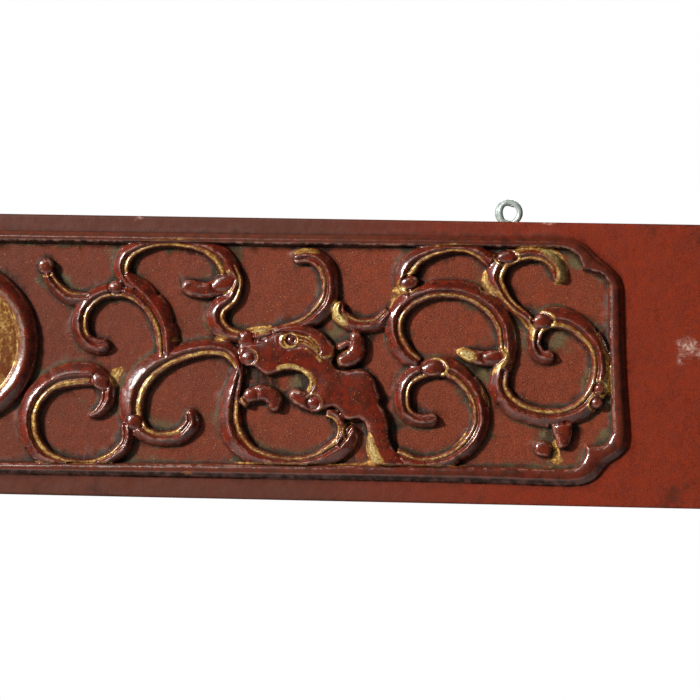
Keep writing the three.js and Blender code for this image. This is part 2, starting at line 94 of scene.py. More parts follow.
# The drawing of the right half. Each band is a smooth line through [x, z, width]. side is the side of its
# inner, gilded edge, 1 on the left of the way it runs. gilt is the stretch of that edge that is gilded, as
# shares of the band's length, and then how fully. cuts are the places of cusps in its outer edge, as shares
# of its length. open names the ends that aren't rounded off. form says dome where a band has a plain rounded
# top, and rise is how many mm that top stands above the other bands'.
BANDS = {
    "medallion_scroll": dict(side=1, open="end", cuts=[0.33, 0.58], gilt=[0.2, 0.92, 1], points=[
        [92, -41, 3], [99, -38, 7], [104.5, -30, 9.5], [104, -20, 11], [96, -13.5, 15], [84, -12.5, 17],
        [70, -16, 16], [58.5, -24.5, 14.5], [52, -36, 14], [51, -48, 14], [54, -59, 14], [62, -68, 12],
        [76, -73, 8], [94, -73.5, 7], [109, -68, 8], [118, -59, 9], [119, -46, 9],
    ]),
    "antler": dict(side=1, open="end", gilt=[0.25, 0.9, 0.35], points=[
        [61.5, 61, 9], [64, 52, 9], [71, 43.5, 10], [80, 38.5, 10], [91, 38.5, 8],
    ]),
    "upper_spiral": dict(side=-1, open="end", gilt=[0.2, 1, 0.5], points=[
        [106, 8, 9], [97, 6, 11], [88, 12, 11], [85, 23, 11.5], [88.5, 34, 11], [98, 42, 10],
        [109, 44.5, 10], [120, 42, 8], [129, 34, 5],
    ]),
    "cloud_body": dict(side=1, open="both", cuts=[0.33, 0.62], gilt=[0, 0.8, 0.4], points=[
        [145, 0, 14], [143.5, 17, 16], [138.5, 30, 16], [130, 41, 16], [121, 49, 13], [115.5, 55, 8],
    ]),
    "cloud_arch": dict(side=-1, open="both", cuts=[0.75], gilt=[0.1, 0.97, 1], points=[
        [122, 46.5, 7], [115.5, 52, 10], [112.5, 60, 12], [115.5, 68.5, 12], [124.5, 74.5, 9],
        [140, 77.5, 7], [156, 77.5, 8], [171, 74, 11], [181.5, 67, 14], [186, 57, 14], [182, 48, 12],
    ]),
    "cloud_tip": dict(side=1, form="dome", open="start", points=[
        [188, 52, 8], [180, 48, 12], [170, 45.5, 11], [160, 47, 11], [155, 51, 8],
    ]),
    "horn_loop": dict(side=1, open="start", cuts=[0.6], gilt=[0, 0.88, 0.55], points=[
        [187, 62, 8], [190.5, 51, 10], [187, 41, 11], [179, 34, 13], [177.5, 25, 14], [184, 17.5, 12],
        [196, 14.5, 9], [210, 16.5, 8], [224, 20, 8], [237, 24, 10], [247.5, 32, 12], [253.5, 43, 12],
        [253.5, 55, 12], [249, 65, 12], [240, 70, 11], [228, 68, 10],
    ]),
    "back_scroll": dict(side=1, open="start", cuts=[0.3, 0.36], gilt=[0.03, 0.9, 1], points=[
        [195, -11, 5], [191.5, -1, 9], [185, 5.5, 11], [175, 7, 11], [163, 5.5, 12], [147, 0.5, 14],
        [133.5, -8, 16], [124, -20, 17.5], [121, -32, 18], [122.5, -43, 15], [131, -52, 11], [143, -55, 10],
        [155, -52.5, 11], [162.5, -44, 11], [160, -35, 8],
    ]),
    "heart_loop": dict(side=1, open="start", gilt=[0.16, 0.93, 0.5], points=[
        [194, -5, 6], [191, -17, 10], [188, -30, 14], [188, -43, 16], [192, -54, 16], [201, -63, 13],
        [215, -68, 10], [231, -69.5, 9], [246, -67.5, 11], [258.5, -61.5, 15], [267.5, -53.5, 14],
        [271.5, -44, 9],
    ]),
    "heart_end": dict(side=-1, open="both", gilt=[0, 1, 0.9], points=[
        [253, -35.5, 6], [259, -37, 7], [263.5, -43, 7], [263.5, -50, 7], [260, -57, 6],
    ]),
    "heart_tip": dict(side=-1, form="dome", open="start", points=[
        [196, -31, 6], [202, -25, 10], [211, -23, 11], [218, -28, 11], [217, -35, 8],
    ]),
    "tail_spiral": dict(side=1, open="start", cuts=[0.22, 0.42, 0.52], gilt=[0, 0.9, 0.5], points=[
        [300, -64, 12], [317, -68.5, 10], [334, -66, 11], [347.5, -57, 12], [355.5, -45, 12],
        [356.5, -32, 12], [352, -19, 12.5], [343, -8.5, 13], [331, -3, 13.5], [317, -5.5, 12.5],
        [307, -12, 11], [303.5, -23, 11], [306, -34, 11], [315, -39.5, 9.5], [328, -38.5, 9],
    ]),
    "great_ring": dict(side=-1, open="both", cuts=[0.16, 0.2, 0.4, 0.64], gilt=[0, 0.95, 0.4], points=[
        [314, -1, 9], [305, 5, 13], [298.5, 16, 13.5], [297.5, 28, 13.5], [304, 39, 13.5], [316, 46.5, 13],
        [333, 49, 12.5], [349, 46.5, 13], [363, 37.5, 13], [371.5, 25, 13], [373.5, 10, 13], [371, -4, 13],
    ]),
    "rear_spiral": dict(side=1, open="start", cuts=[0.14, 0.3, 0.34, 0.66], gilt=[0.06, 0.88, 0.7], points=[
        [372.5, 4, 12], [369, -7, 13], [368.5, -17, 14], [375, -27, 14], [386, -33, 13], [400, -36, 13],
        [414, -34.5, 13], [426, -28, 14], [434, -16, 14], [436.5, -2, 13], [434, 11, 13], [427, 21, 13.5],
        [415.5, 29, 14.5], [402, 31, 15], [393, 23, 11], [391.5, 12, 10], [397, 5, 10], [405, 5.5, 9],
    ]),
    "comma": dict(side=1, form="dome", open="end", points=[
        [341, 6.5, 5], [348, 4.5, 9], [357, 3, 10], [366, 3.5, 10], [372, 8, 8],
    ]),
    "top_scroll": dict(side=-1, open="both", gilt=[0.12, 0.95, 1], points=[
        [307, 44, 8], [302.5, 54, 11], [306, 64, 14], [312.5, 70.5, 12], [324, 75, 8.5], [338, 77, 6.5],
        [351, 75, 8], [362, 68, 11],
    ]),
    "corner_scroll": dict(side=-1, open="start", gilt=[0.1, 0.92, 0.8], points=[
        [391, 25, 5], [386, 31, 7], [377.5, 37, 8], [369.5, 46, 10], [364.5, 57, 13], [369, 68, 13],
        [381, 72.5, 9], [394, 73, 9], [403, 68.5, 10], [407, 60, 10], [406, 55, 9],
    ]),
    "link": dict(side=1, open="end", gilt=[0.3, 1, 0.35], points=[
        [261, 40, 5], [260, 32, 10], [266, 26, 11], [276, 23.5, 10], [286, 25, 10], [294, 33, 8],
    ]),
    "ear": dict(side=-1, form="dome", points=[
        [270, 19.5, 8], [273, 12.5, 10.5], [272.3, 6, 12], [269, 2, 12], [264.5, 0.2, 11.5],
        [259.4, 0.2, 10.5],
    ]),
    "ear_lobe": dict(side=1, form="dome", rise=-1.6, points=[[269, 12.3, 5], [258.4, 8, 5.5]]),
}
# The crest over the eye, laid on the head
CREST = {
    "crest": dict(side=1, form="dome", rise=0.5, points=[
        [216.5, 18.3, 3.5], [222, 20, 5], [231, 20.7, 6], [240, 19.2, 7], [246.5, 15.3, 8],
        [250.8, 10, 8.5], [252.3, 6.3, 8],
    ]),
    "nose_lobe": dict(side=1, form="dome", rise=0.2, points=[[198, 15.5, 8], [197, 12.6, 9]]),
    "nose_nub": dict(side=1, form="dome", rise=-0.8, points=[[205.3, 13.2, 4], [208.3, 13.2, 4]]),
    "nose_tip": dict(side=1, form="dome", rise=0.3, points=[[195, 5.5, 4.5], [196, 2.5, 5]]),
    "jaw_tip": dict(side=1, form="dome", rise=0.4, points=[
        [231.8, -22.5, 6.5], [236, -23.3, 5], [240, -23.7, 4],
    ]),
}
BROKEN_FOOT = {
    "foot_stub": dict(side=-1, form="dome", open="start", points=[
        [411, -40, 15], [412, -48, 12], [410, -56, 6],
    ]),
    "foot_chip": dict(side=1, form="dome", rise=-2, points=[
        [403.5, -54, 9], [398, -57.5, 14], [395, -61, 10],
    ]),
}
WHOLE_FOOT = {
    "foot": dict(side=-1, open="start", gilt=[0.1, 0.8, 0.8], points=[
        [412, -40, 13], [408, -53, 10], [400, -59.5, 9], [394, -56, 7],
    ]),
}
# The outline of the dragon's head and body, once round from the tip of its nose
FIGURE = [
    [193, 4], [192.5, 11], [194, 17], [198, 19.5], [202.5, 17], [204.5, 12.5], [209, 14.5], [213, 17],
    [218, 21], [225, 23], [233, 23], [241, 21.5], [248, 18], [254, 13.5], [258, 8.5], [258, 3], [256.5, -1],
    [259.5, -5.5], [266, -6.8], [273, -5.5], [279, -7], [284.5, -12], [287.3, -19], [289.4, -24.6],
    [288, -27.6], [292, -33], [294.8, -41], [295.5, -49], [298, -57], [303, -63], [307, -70], [297, -73],
    [288, -72], [283.5, -66], [280.5, -57], [280.5, -47], [278.5, -41.5], [274, -39.5], [268, -40.5],
    [264.5, -39], [262, -35], [257.5, -32], [251, -33.5], [246, -35.5], [239, -34], [233, -31],
    [228.5, -27.5], [227.3, -23.5], [229.5, -20.3], [234, -19.8], [237.5, -22.3], [240, -21],
    [241.3, -16.5], [239.5, -11.8], [236, -9], [230, -7.8], [224, -8], [218, -10], [212, -11], [207, -8],
    [203.5, -5.5], [198, -5], [194, -1.5],
]
# Oval bosses: [x, z, half length, half height, turn in degrees, and the rim's start, end and gilding]
BOSSES = {
    "antler_knob": [61.5, 60, 5.5, 5.5, 0, 200, 320, 0.4],
    "medallion_curl": [100, -17.5, 6.5, 5, -50, 0, 0, 0],
    "spiral_boss": [109.5, 46.5, 5, 4.6, 0, -100, 80, 0],
    "back_boss": [123.5, -44, 5.2, 5.2, 0, 0, 0, 0],
    "cloud_boss": [182, 50.5, 8, 5.4, 25, -110, 70, 1],
    "heart_boss": [202, -24.5, 5, 5, 0, 100, 260, 0.7],
    "nostril": [200.2, 0.9, 4.2, 3.9, 0, -75, 95, 0.1],
    "jaw_boss": [244.4, -28.8, 4.2, 3.9, 0, -60, 150, 0.15],
    "tail_boss": [324, -4.5, 7.4, 5.2, 10, -80, 90, 0.9],
    "top_boss": [307.5, 53, 6, 4.4, 20, 10, 200, 0.8],
    "corner_boss": [372, 71, 6.2, 4, 0, -180, 180, 0.8],
    "ring_boss": [363.5, 4, 7, 4.6, 5, -70, 110, 1],
    "rear_boss": [396.5, 28.5, 6.2, 4.8, 0, -40, 190, 0.9],
    "tail_bud_upper": [435.5, -15.8, 3.6, 3.6, 0, -180, 180, 0.9],
    "tail_bud_lower": [434, -25.5, 3.8, 3.8, 0, -180, 180, 1],
    "eye": [228.6, 13, 2.6, 2.6, 0, -180, 180, 0.35],
}
# Raised lines cut on the head: [width, rise, gilding, points]
BEADS = [
    [1.3, 0.8, 0.7, [
        [225.2, 16.6], [223, 15.6], [221.9, 12.5], [222.3, 9.5], [225, 7.9], [229, 7.9], [232, 9.3],
    ]],
    [1.2, 0.7, 0.8, [[230.5, 16.6], [234, 15.8], [238.5, 15], [242, 12.8], [245, 9.3], [246.8, 5.6]]],
    [1.1, 0.7, 0.7, [[241, 15.3], [244, 13.2], [246.4, 9.8], [247.8, 5.6]]],
    [1, 0.6, 0.7, [[232.8, 13.4], [236.5, 13], [240.5, 11.4], [243.8, 8.6], [246.2, 5.4]]],
    [0.9, 0.5, 0.4, [[232, 10.4], [236, 11], [240, 9.8], [243.3, 7.6], [246, 4.8]]],
    [1.6, 0.5, 0.1, [[239, 7.2], [243, 5], [246.5, 1.8], [249, -0.6]]],
    [1.3, 0.4, 0, [[218.4, 14.6], [218.6, 11.5], [221.3, 8.4], [223, 5.6]]],
    [1.4, 0.6, 0.15, [[248.6, 4.2], [250, 2.2], [253, 1.7], [256, 3.2], [257.4, 6.3], [256.6, 9.4]]],
    [3.4, 0.5, 0.75, [[220.6, -6.1], [225, -4.8], [230, -4.7], [235.5, -6.8], [240, -9.6]]],
    [2.6, 0.4, 0.85, [[240, -9.6], [242.2, -13], [242.2, -17], [240.5, -20.6]]],
    [1.1, 0.7, 0.1, [
        [236.5, -5.8], [240.3, -7.6], [243.9, -10.8], [245.6, -14.4], [245.2, -18.4], [243, -21.8],
    ]],
    [1.3, 0.5, 0.3, [[261, -4.2], [259.7, -1], [260, 2.8], [262, 5.4], [265, 6.3], [268, 5.8]]],
    [1.5, 0.4, 0.5, [
        [265.6, -53], [264.6, -48], [266, -43.5], [270, -41.5], [275, -42], [277.8, -46], [278, -54],
    ]],
    [1.2, 0.5, 0.2, [[268.3, -50], [267.4, -46.5], [269, -43.8]]],
]
# Cut lines: [width, depth, points]
GROOVES = [
    [1.8, 1.3, [
        [213, 14.5], [215.5, 16.4], [220, 17.6], [226, 18], [233, 17.6], [239, 16.2], [243.8, 13.2],
        [246.9, 9.2], [248.2, 5],
    ]],
    [1.3, 0.9, [[221, 8.4], [226, 6.6], [232, 8.2], [237, 8.8], [241.5, 7.6], [245, 4.6], [247.5, 2]]],
    [1.6, 1, [[192.5, 9.3], [197, 9.2], [202, 10.2], [206, 10.7], [211, 12.2]]],
    [1.6, 1.2, [[202, 18], [203.2, 15], [203.2, 12.2]]],
    [1.2, 0.9, [[235, -6.6], [239.6, -8.6], [243.2, -12.4], [243.9, -16.6], [242, -20.6]]],
    [1.6, 1.6, [[259, 10], [258.6, 6], [258, 1], [259, -3.4], [261.5, -6]]],
    [1.3, 0.9, [[247.6, 3], [249.8, 0.8], [253, 0.3], [256.8, 1.8]]],
    [1, 1.6, [[404, -57], [409, -58.2], [413, -58]]],
    [1.3, 1, [[262.5, -58], [268, -50], [271, -45.5]]],
]
# Gilded facets and smears: [fullness, outline]
GILDED = [
    [1, [
        [257.5, 41.5], [260.8, 38.5], [261, 34], [266.5, 27], [265.5, 22.5], [260, 24], [255.5, 28.5],
        [254.5, 35],
    ]],
    [1, [[339, 7], [341.5, 9.8], [347, 9.6], [352, 6.5], [353.5, 2.5], [348.5, 0], [343, 3]]],
    [1, [
        [369, 12], [373.5, 10], [375.2, 5], [373, -1], [368, -5], [363.5, -8.5], [364.5, -3.8], [370, 1.5],
        [371, 7],
    ]],
    [1, [
        [356, 61.5], [358.5, 62], [360, 55], [364, 50.5], [370, 46.5], [366.5, 44.5], [360, 47],
        [355.5, 53],
    ]],
    [0.8, [
        [377, 78], [392, 79.5], [404, 77], [411.5, 70], [413.5, 60], [410, 53], [403.5, 53.5], [405.5, 58],
        [404.5, 65], [399, 70.5], [392, 76], [378, 75.5],
    ]],
    [0.7, [[356, -13], [359, -18], [362.2, -26], [362.6, -31], [359, -26], [355.5, -18]]],
    [0.9, [
        [434, 18.5], [438, 12], [442.5, 2], [443.5, -12], [443.2, -20], [439, -19], [436.5, -10.5],
        [439, -6], [438.8, 4], [436.5, 11],
    ]],
    [0.9, [[387.8, 26], [391, 26.5], [392.6, 20], [391.8, 15.5], [388.8, 16]]],
    [0.8, [
        [395.5, -67.5], [403, -66], [406, -61.5], [411, -60], [413.5, -62.5], [409, -67.5], [400, -69.5],
    ]],
    [0.7, [[404.5, -52], [407.5, -49.5], [409.5, -54], [409, -58], [405.5, -57.5]]],
    [0.8, [[228, 73], [236, 75], [245, 73.6], [247, 71], [238, 71.8], [229, 70.5]]],
    [0.6, [[105.5, -8.5], [110, -7.5], [116, -9], [112.5, -14.5], [110.5, -22], [106.5, -17]]],
    [0.7, [[197.5, -6.5], [203, -7.5], [204.5, -15.5], [200.5, -15.5], [198, -11]]],
    [0.7, [[196, 20.8], [206, 22], [215, 22.5], [213, 18.8], [208.5, 15.5], [204, 17]]],
    [1, [[281.6, -46.5], [284, -49], [287.5, -58], [292.5, -69], [284.5, -69.5], [280.5, -62], [280, -54]]],
    [0.7, [
        [293, 44], [296.5, 49], [303, 51], [307, 47.5], [315, 50.5], [309, 46], [299, 44.5], [295.5, 40],
    ]],
    [0.6, [[123, 78], [136, 79.5], [150, 80.2], [166, 79.5], [150, 78.8], [134, 77.8]]],
    [0.6, [[310, 76.5], [322, 78.7], [340, 80], [352, 78.8], [338, 78.5], [322, 77]]],
    [0.7, [[180, 16.5], [176, 13], [179, 10.5], [184, 12], [186.5, 14]]],
    [0.5, [[146.5, 10], [149.5, 13.5], [154, 12], [150.5, 9.5]]],
    [0.6, [[438.5, -27.5], [442, -28], [441.8, -30.8], [438.8, -30]]],
]
# Gilded lines on the ground and along forms: [half width, fullness, points]
GILDED_LINES = [
    [0.8, 0.9, [[366, 46], [372, 41], [378, 34.5], [383.5, 28.5], [388, 23]]],
    [0.9, 0.4, [[190, -70.2], [230, -70.3], [270, -70], [310, -69.6], [350, -69.3]]],
    [0.6, 0.4, [[56, -72.4], [90, -72.6], [112, -71.8]]],
    [0.8, 0.6, [[294.5, 36], [297, 41], [303, 46.5]]],
    [0.8, 0.8, [[433, 20.5], [437.5, 12], [440.5, 2], [441.3, -8]]],
    [0.7, 0.8, [[426, 9], [428.5, 0], [427.5, -10], [422.5, -19]]],
    [0.6, 0.5, [[348.8, -28], [349.3, -38], [345.5, -49], [338, -57.5]]],
    [0.5, 0.5, [[287, -26], [291, -33], [293, -40]]],
]
# Grey-green dirt: [x, z, radius, strength]
GRIME = [
    [169, 60, 7, 1], [76, 52, 7, 0.8], [104, 68, 6, 0.7], [162, 30, 10, 0.6], [170, 38, 8, 0.6],
    [149, 8, 5, 0.7], [87.5, -32, 6, 0.9], [142, -44, 8, 0.8], [180.5, -10, 7, 1], [175, -41, 9, 0.9],
    [133, -64, 9, 0.8], [78, -69, 8, 0.7], [44, -70, 6, 0.7], [241, 45, 6, 0.7], [259, 17, 7, 1.3],
    [294, 41, 6, 0.8], [300, 66, 5, 0.7], [232, -14, 7, 1.3], [256, -45, 6, 1], [276, -71, 6, 0.8],
    [185, -72, 7, 0.7], [304, -9, 6, 1], [299, -20, 5, 0.7], [352, 62, 7, 0.9], [399, 60, 5, 0.8],
    [419, 69, 6, 1.2], [433, 57, 7, 0.7], [437, 40, 6, 0.8], [438, 25, 5, 0.8], [434, 51, 4, 1],
    [357, 17, 6, 0.9], [408, 15, 7, 1.4], [417, 8, 6, 1.2], [387, 13, 5, 1], [386, 3, 4, 0.8],
    [359, -9, 7, 1.2], [425, -10, 6, 0.8], [438, -47, 6, 1], [399, -48, 5, 1], [392, -69, 6, 0.9],
    [404, -70, 9, 0.8], [422, -60, 6, 0.7], [428, -57, 4, 0.8], [208, 19, 7, 0.9], [205, -10, 5, 0.8],
    [113, 52, 5, 0.7], [110, -14, 7, 0.9], [323, -16, 4, 0.8], [369, -40, 5, 0.5], [345, -70, 9, 0.7],
    [320, -71, 8, 0.5], [300, -57, 4, 0.6], [120, -70, 7, 0.6], [232, -62, 9, 0.5], [210, -55, 7, 0.6],
    [205, 60, 6, 0.4], [268, 62, 5, 0.4],
]
# Pale scuffs and chips in the lacquer: [x, z, radius, strength]
SCUFFS = [
    [494, 13, 11, 0.95], [490, 4, 8, 0.8], [503, 9, 8, 0.95], [499, 20, 3.5, 1.1], [488, 14, 6, 0.9],
    [122, 94.5, 2.4, 1.2], [127, 94.5, 1.8, 1.1], [400, 94.5, 2.4, 1.1], [378, 94.5, 1.8, 1],
    [446, -36, 2.6, 0.85], [160, -77.5, 3.4, 0.85], [165, -78, 2.4, 0.8], [306, 80, 3, 0.6],
    [487, 61, 1.6, 1.2],
]
# Dark stains: [x, z, radius, strength]
STAINS = [
    [485, -85, 9, 0.9], [495, -80, 6, 0.7], [474, -88, 5, 0.6], [500, 88, 12, 0.6], [470, 91, 8, 0.5],
    [505, -30, 9, 0.4], [488, 30, 5, 0.4], [100, -89, 14, 0.6], [60, -90, 10, 0.5], [250, -90, 12, 0.4],
]
# The frame moulding's inner and outer outlines, right half, in runs that are each smooth and meet in corners
FRAME_INNER = [
    [[0, 76], [200, 76.5], [405, 77.5]],
    [[405, 77.5], [413, 76.5], [419, 72.5], [422, 67.5], [423, 63]],
    [[423, 63], [430.5, 62], [437, 59], [440.3, 53.5]],
    [[440.3, 53.5], [442, 0], [444.6, -45]],
    [[444.6, -45], [440, -52.5], [434, -54.3], [426.5, -53.5]],
    [[426.5, -53.5], [427, -59], [424.5, -65], [419, -69], [412, -70]],
    [[412, -70], [350, -69.5], [200, -71], [0, -73.5]],
]
FRAME_OUTER = [
    [[0, 83.5], [200, 84], [405, 85]],
    [[405, 85], [416, 84], [425, 80], [431, 74.5], [436, 70], [441.5, 65.5], [447, 60], [450, 53]],
    [[450, 53], [452.5, 0], [456.5, -46]],
    [[456.5, -46], [455.5, -55], [450, -61.5], [443, -66]],
    [[443, -66], [440, -70], [434.5, -76.5], [427, -80.5], [415, -82]],
    [[415, -82], [350, -81], [200, -81], [0, -81.5]],
]

STEP = 0.5
TRIANGLES = 190000
NOT_GILDED = -9.0


def add_object(name, data):
    made = bpy.data.objects.new(name, data)
    bpy.context.collection.objects.link(made)
    return made


# Camera and lights
def set_camera():
    """The camera as the photograph was taken, near the panel's middle height and a little rolled."""
    yaw, roll = math.radians(2.869), math.radians(1.049)
    level = Vector((math.cos(yaw), math.sin(yaw), 0))
    ahead = Vector((-math.sin(yaw), math.cos(yaw), 0))
    plumb = Vector((0, 0, 1))
    right = math.cos(roll) * level + math.sin(roll) * plumb
    up = math.cos(roll) * plumb - math.sin(roll) * level
    place = Matrix.Translation((0.3531, -1.716, 0.00699))
    camera = add_object("camera", bpy.data.cameras.new("camera"))
    turn = Matrix((right, up, -ahead)).transposed().to_4x4()
    camera.matrix_world = place @ turn
    camera.data.sensor_width = 36
    camera.data.sensor_fit = "HORIZONTAL"
    camera.data.lens = 130.1
    camera.data.clip_end = 50
    bpy.context.scene.camera = camera
    bpy.context.scene.view_settings.view_transform = "Standard"


def area_light(name, place, aim, size, power, tint=(1, 1, 1)):
    lamp = bpy.data.lights.new(name, "AREA")
    lamp.shape = "SQUARE"
    lamp.size = size
    lamp.energy = power
    lamp.color = tint
    made = add_object(name, lamp)
    made.location = place
    made.rotation_euler = (Vector(aim) - Vector(place)).to_track_quat("-Z", "Y").to_euler()


def set_world():
    """Dim, even light from all round, behind which the camera sees plain white."""
    world = bpy.data.worlds.new("studio")
    world.use_nodes = True
    bpy.context.scene.world = world
    nodes, links = world.node_tree.nodes, world.node_tree.links
    nodes.clear()
    seen = nodes.new("ShaderNodeBackground")
    seen.inputs["Color"].default_value = (1, 1, 1, 1)
    fill = nodes.new("ShaderNodeBackground")
    fill.inputs["Color"].default_value = (0.86, 0.92, 1, 1)
    fill.inputs["Strength"].default_value = 0.02
    path = nodes.new("ShaderNodeLightPath")
    mixed = nodes.new("ShaderNodeMixShader")
    out = nodes.new("ShaderNodeOutputWorld")
    links.new(path.outputs["Is Camera Ray"], mixed.inputs["Fac"])
    links.new(fill.outputs["Background"], mixed.inputs[1])
    links.new(seen.outputs["Background"], mixed.inputs[2])
    links.new(mixed.outputs["Shader"], out.inputs["Surface"])


set_camera()
set_world()
area_light("key_light", (-5.75, -5.25, 2.85), (0.25, 0, 0), 0.85, 1060, (1, 0.96, 0.9))
area_light("low_light", (-3.4, -3.9, -0.5), (0.2, 0, 0), 0.3, 9, (1, 0.98, 0.95))
area_light("top_light", (-0.9, -3.2, 2.6), (0.1, 0, 0), 0.7, 19, (1, 0.98, 0.95))
area_light("sheen_light", (-2.6, -0.9, 0.6), (0.1, 0, 0), 1.6, 5, (0.8, 0.88, 1))
area_light("back_fill", (0.6, 2.2, 1.4), (0, 0, 0), 1.6, 40)


# The grid that the right half is drawn on: x from the middle to the plank's end, z over its whole height.
# It is fine over the carving and coarser beyond it, with rows close together at the plank's edges.
FIELD_END = 462
FIELD_LOW, FIELD_HIGH = -84, 87
EDGE_STEPS = np.array([0, 0.2, 0.6, 1.2, 2, 3.5])
fine_x = np.arange(0, FIELD_END + STEP / 2, STEP)
coarse_x = np.linspace(fine_x[-1], BOARD_LENGTH / 2 - 4.5, 30)[1:]
gx = np.concatenate([fine_x, coarse_x, BOARD_LENGTH / 2 - EDGE_STEPS[::-1]])
fine_z = np.arange(FIELD_LOW, FIELD_HIGH + STEP / 2, STEP)
low_z = np.concatenate([EDGE_STEPS - BOARD_HEIGHT / 2, [-89.5, -87.5, -85.5]])
high_z = np.concatenate([[89], BOARD_HEIGHT / 2 - EDGE_STEPS[::-1]])
gz = np.concatenate([low_z, fine_z, high_z])
GX, GZ = np.meshgrid(gx, gz, indexing="ij")


def between(u, start, end, a, b):
    """The value at u on the straight way from a at start to b at end."""
    return (end - u) / (end - start) * a + (u - start) / (end - start) * b


def smooth_line(points, spacing=0.8):
    """A centripetal Catmull-Rom line through the points, read about every spacing millimetres."""
    p = np.array(points, float)
    if len(p) == 2:
        count = max(2, int(np.hypot(*(p[1] - p[0])[:2]) / spacing) + 1)
        return p[0] + (p[1] - p[0]) * np.linspace(0, 1, count)[:, None]
    p = np.vstack([2 * p[0] - p[1], p, 2 * p[-1] - p[-2]])
    out = []
    for i in range(1, len(p) - 2):
        q = p[i - 1 : i + 3]
        gaps = np.sqrt(np.maximum(np.linalg.norm(np.diff(q, axis=0), axis=1), 1e-6))
        t = np.concatenate([[0], np.cumsum(gaps)])
        count = max(2, int(np.linalg.norm((q[2] - q[1])[:2]) / spacing) + 1)
        u = np.linspace(t[1], t[2], count, endpoint=i == len(p) - 3)[:, None]
        a = [between(u, t[k], t[k + 1], q[k], q[k + 1]) for k in range(3)]
        b = [between(u, t[k], t[k + 2], a[k], a[k + 1]) for k in range(2)]
        out.append(between(u, t[1], t[2], b[0], b[1]))
    return np.vstack(out)


class Nearest:
    """For each grid point near a line: distance, side (1 on its left), place along it, its width there,
    and how far the point lies beyond its ends."""

    def __init__(self, line, reach, place=None):
        self.place = place or (GX, GZ)
        self.distance = np.full(GX.shape, 1e9)
        self.side = np.ones(GX.shape)
        self.along = np.zeros(GX.shape)
        self.width = np.zeros(GX.shape)
        self.beyond = np.zeros(GX.shape)
        run = np.concatenate([[0], np.cumsum(np.linalg.norm(np.diff(line[:, :2], axis=0), axis=1))])
        self.length = run[-1]
        for i in range(len(line) - 1):
            self.add_segment(line, i, run[i], reach)

    def add_segment(self, line, i, start, reach):
        (ax, az), (bx, bz) = line[i, :2], line[i + 1, :2]
        x0, x1 = np.searchsorted(gx, [min(ax, bx) - reach, max(ax, bx) + reach])
        z0, z1 = np.searchsorted(gz, [min(az, bz) - reach, max(az, bz) + reach])
        dx, dz = bx - ax, bz - az
        length = math.hypot(dx, dz)
        if x0 >= x1 or z0 >= z1 or length < 1e-9:
            return
        window = (slice(x0, x1), slice(z0, z1))
        x, z = self.place[0][window], self.place[1][window]
        raw = ((x - ax) * dx + (z - az) * dz) / length**2
        t = np.clip(raw, 0, 1)
        d = np.hypot(x - ax - t * dx, z - az - t * dz)
        closer = d < self.distance[window]
        end = np.zeros(d.shape)
        if i == 0:
            end = np.maximum(end, -raw * length)
        if i == len(line) - 2:
            end = np.maximum(end, (raw - 1) * length)
        side = np.where(dx * (z - az) - dz * (x - ax) >= 0, 1, -1)
        found = [(self.distance, d), (self.side, side), (self.along, start + t * length), (self.beyond, end)]
        if line.shape[1] > 2:
            found.append((self.width, line[i, 2] + t * (line[i + 1, 2] - line[i, 2])))
        for field, value in found:
            np.copyto(field[window], value, where=closer)


def within(ring):
    """Whether each grid point lies inside a closed outline."""
    inside = np.zeros(GX.shape, bool)
    for (ax, az), (bx, bz) in zip(ring, np.roll(ring, -1, 0)):
        rows = (gz >= min(az, bz)) & (gz < max(az, bz))
        if az != bz and rows.any():
            crossing = ax + (gz[rows] - az) * (bx - ax) / (bz - az)
            inside[:, rows] ^= gx[:, None] < crossing[None, :]
    return inside


def distance_to(points, reach):
    """How far each grid point within reach lies from a smooth line."""
    return Nearest(smooth_line(points), reach).distance


def depth_inside(points, reach):
    """How deep each grid point lies inside a closed outline, in millimetres, and below 0 outside it."""
    ring = smooth_line(points + points[:1], 1)
    distance = np.minimum(Nearest(ring, reach).distance, reach)
    return np.where(within(ring[:-1]), distance, -distance)


def along_profile(place, profile):
    return np.interp(place, [point[0] for point in profile], [point[1] for point in profile])


def hump(place):
    """A parabola's height: 1 at 0, and 0 from 1 or -1 on."""
    return np.clip(1 - place**2, 0, 1)


def arch(place):
    """A half circle's height: 1 at 0, and 0 from 1 or -1 on."""
    return np.sqrt(hump(place))


def read_grid(field, ix, iz, fx, fz):
    """Reads a grid in its cell ix, iz, at the shares fx and fz of the way across the cell."""
    near = field[ix, iz] * (1 - fx) + field[ix + 1, iz] * fx
    far = field[ix, iz + 1] * (1 - fx) + field[ix + 1, iz + 1] * fx
    return near * (1 - fz) + far * fz


def blotches(seed, pitch, octaves=3):
    """Soft random patches about pitch millimetres apart, mostly between -1 and 1."""
    rng = np.random.default_rng(seed)
    out = np.zeros(GX.shape)
    for octave in range(octaves):
        size = pitch / 2**octave
        nx, nz = int(gx[-1] / size) + 3, int((gz[-1] - gz[0]) / size) + 3
        lattice = rng.uniform(-1, 1, (nx, nz))
        fx, fz = GX / size, (GZ - gz[0]) / size
        ix, iz = fx.astype(int), fz.astype(int)
        sx, sz = fx - ix, fz - iz
        sx, sz = sx * sx * (3 - 2 * sx), sz * sz * (3 - 2 * sz)
        out += read_grid(lattice, ix, iz, sx, sz) / 1.7**octave
    return out


# Places a little out of true, so that the bands' edges waver as hand cutting does
HAND_DRAWN = (GX + HAND_WAVER * blotches(51, 7, 2), GZ + HAND_WAVER * blotches(53, 7, 2))


def round_end(place, radius):
    return arch(1 - np.clip(place / radius, 0, 1))


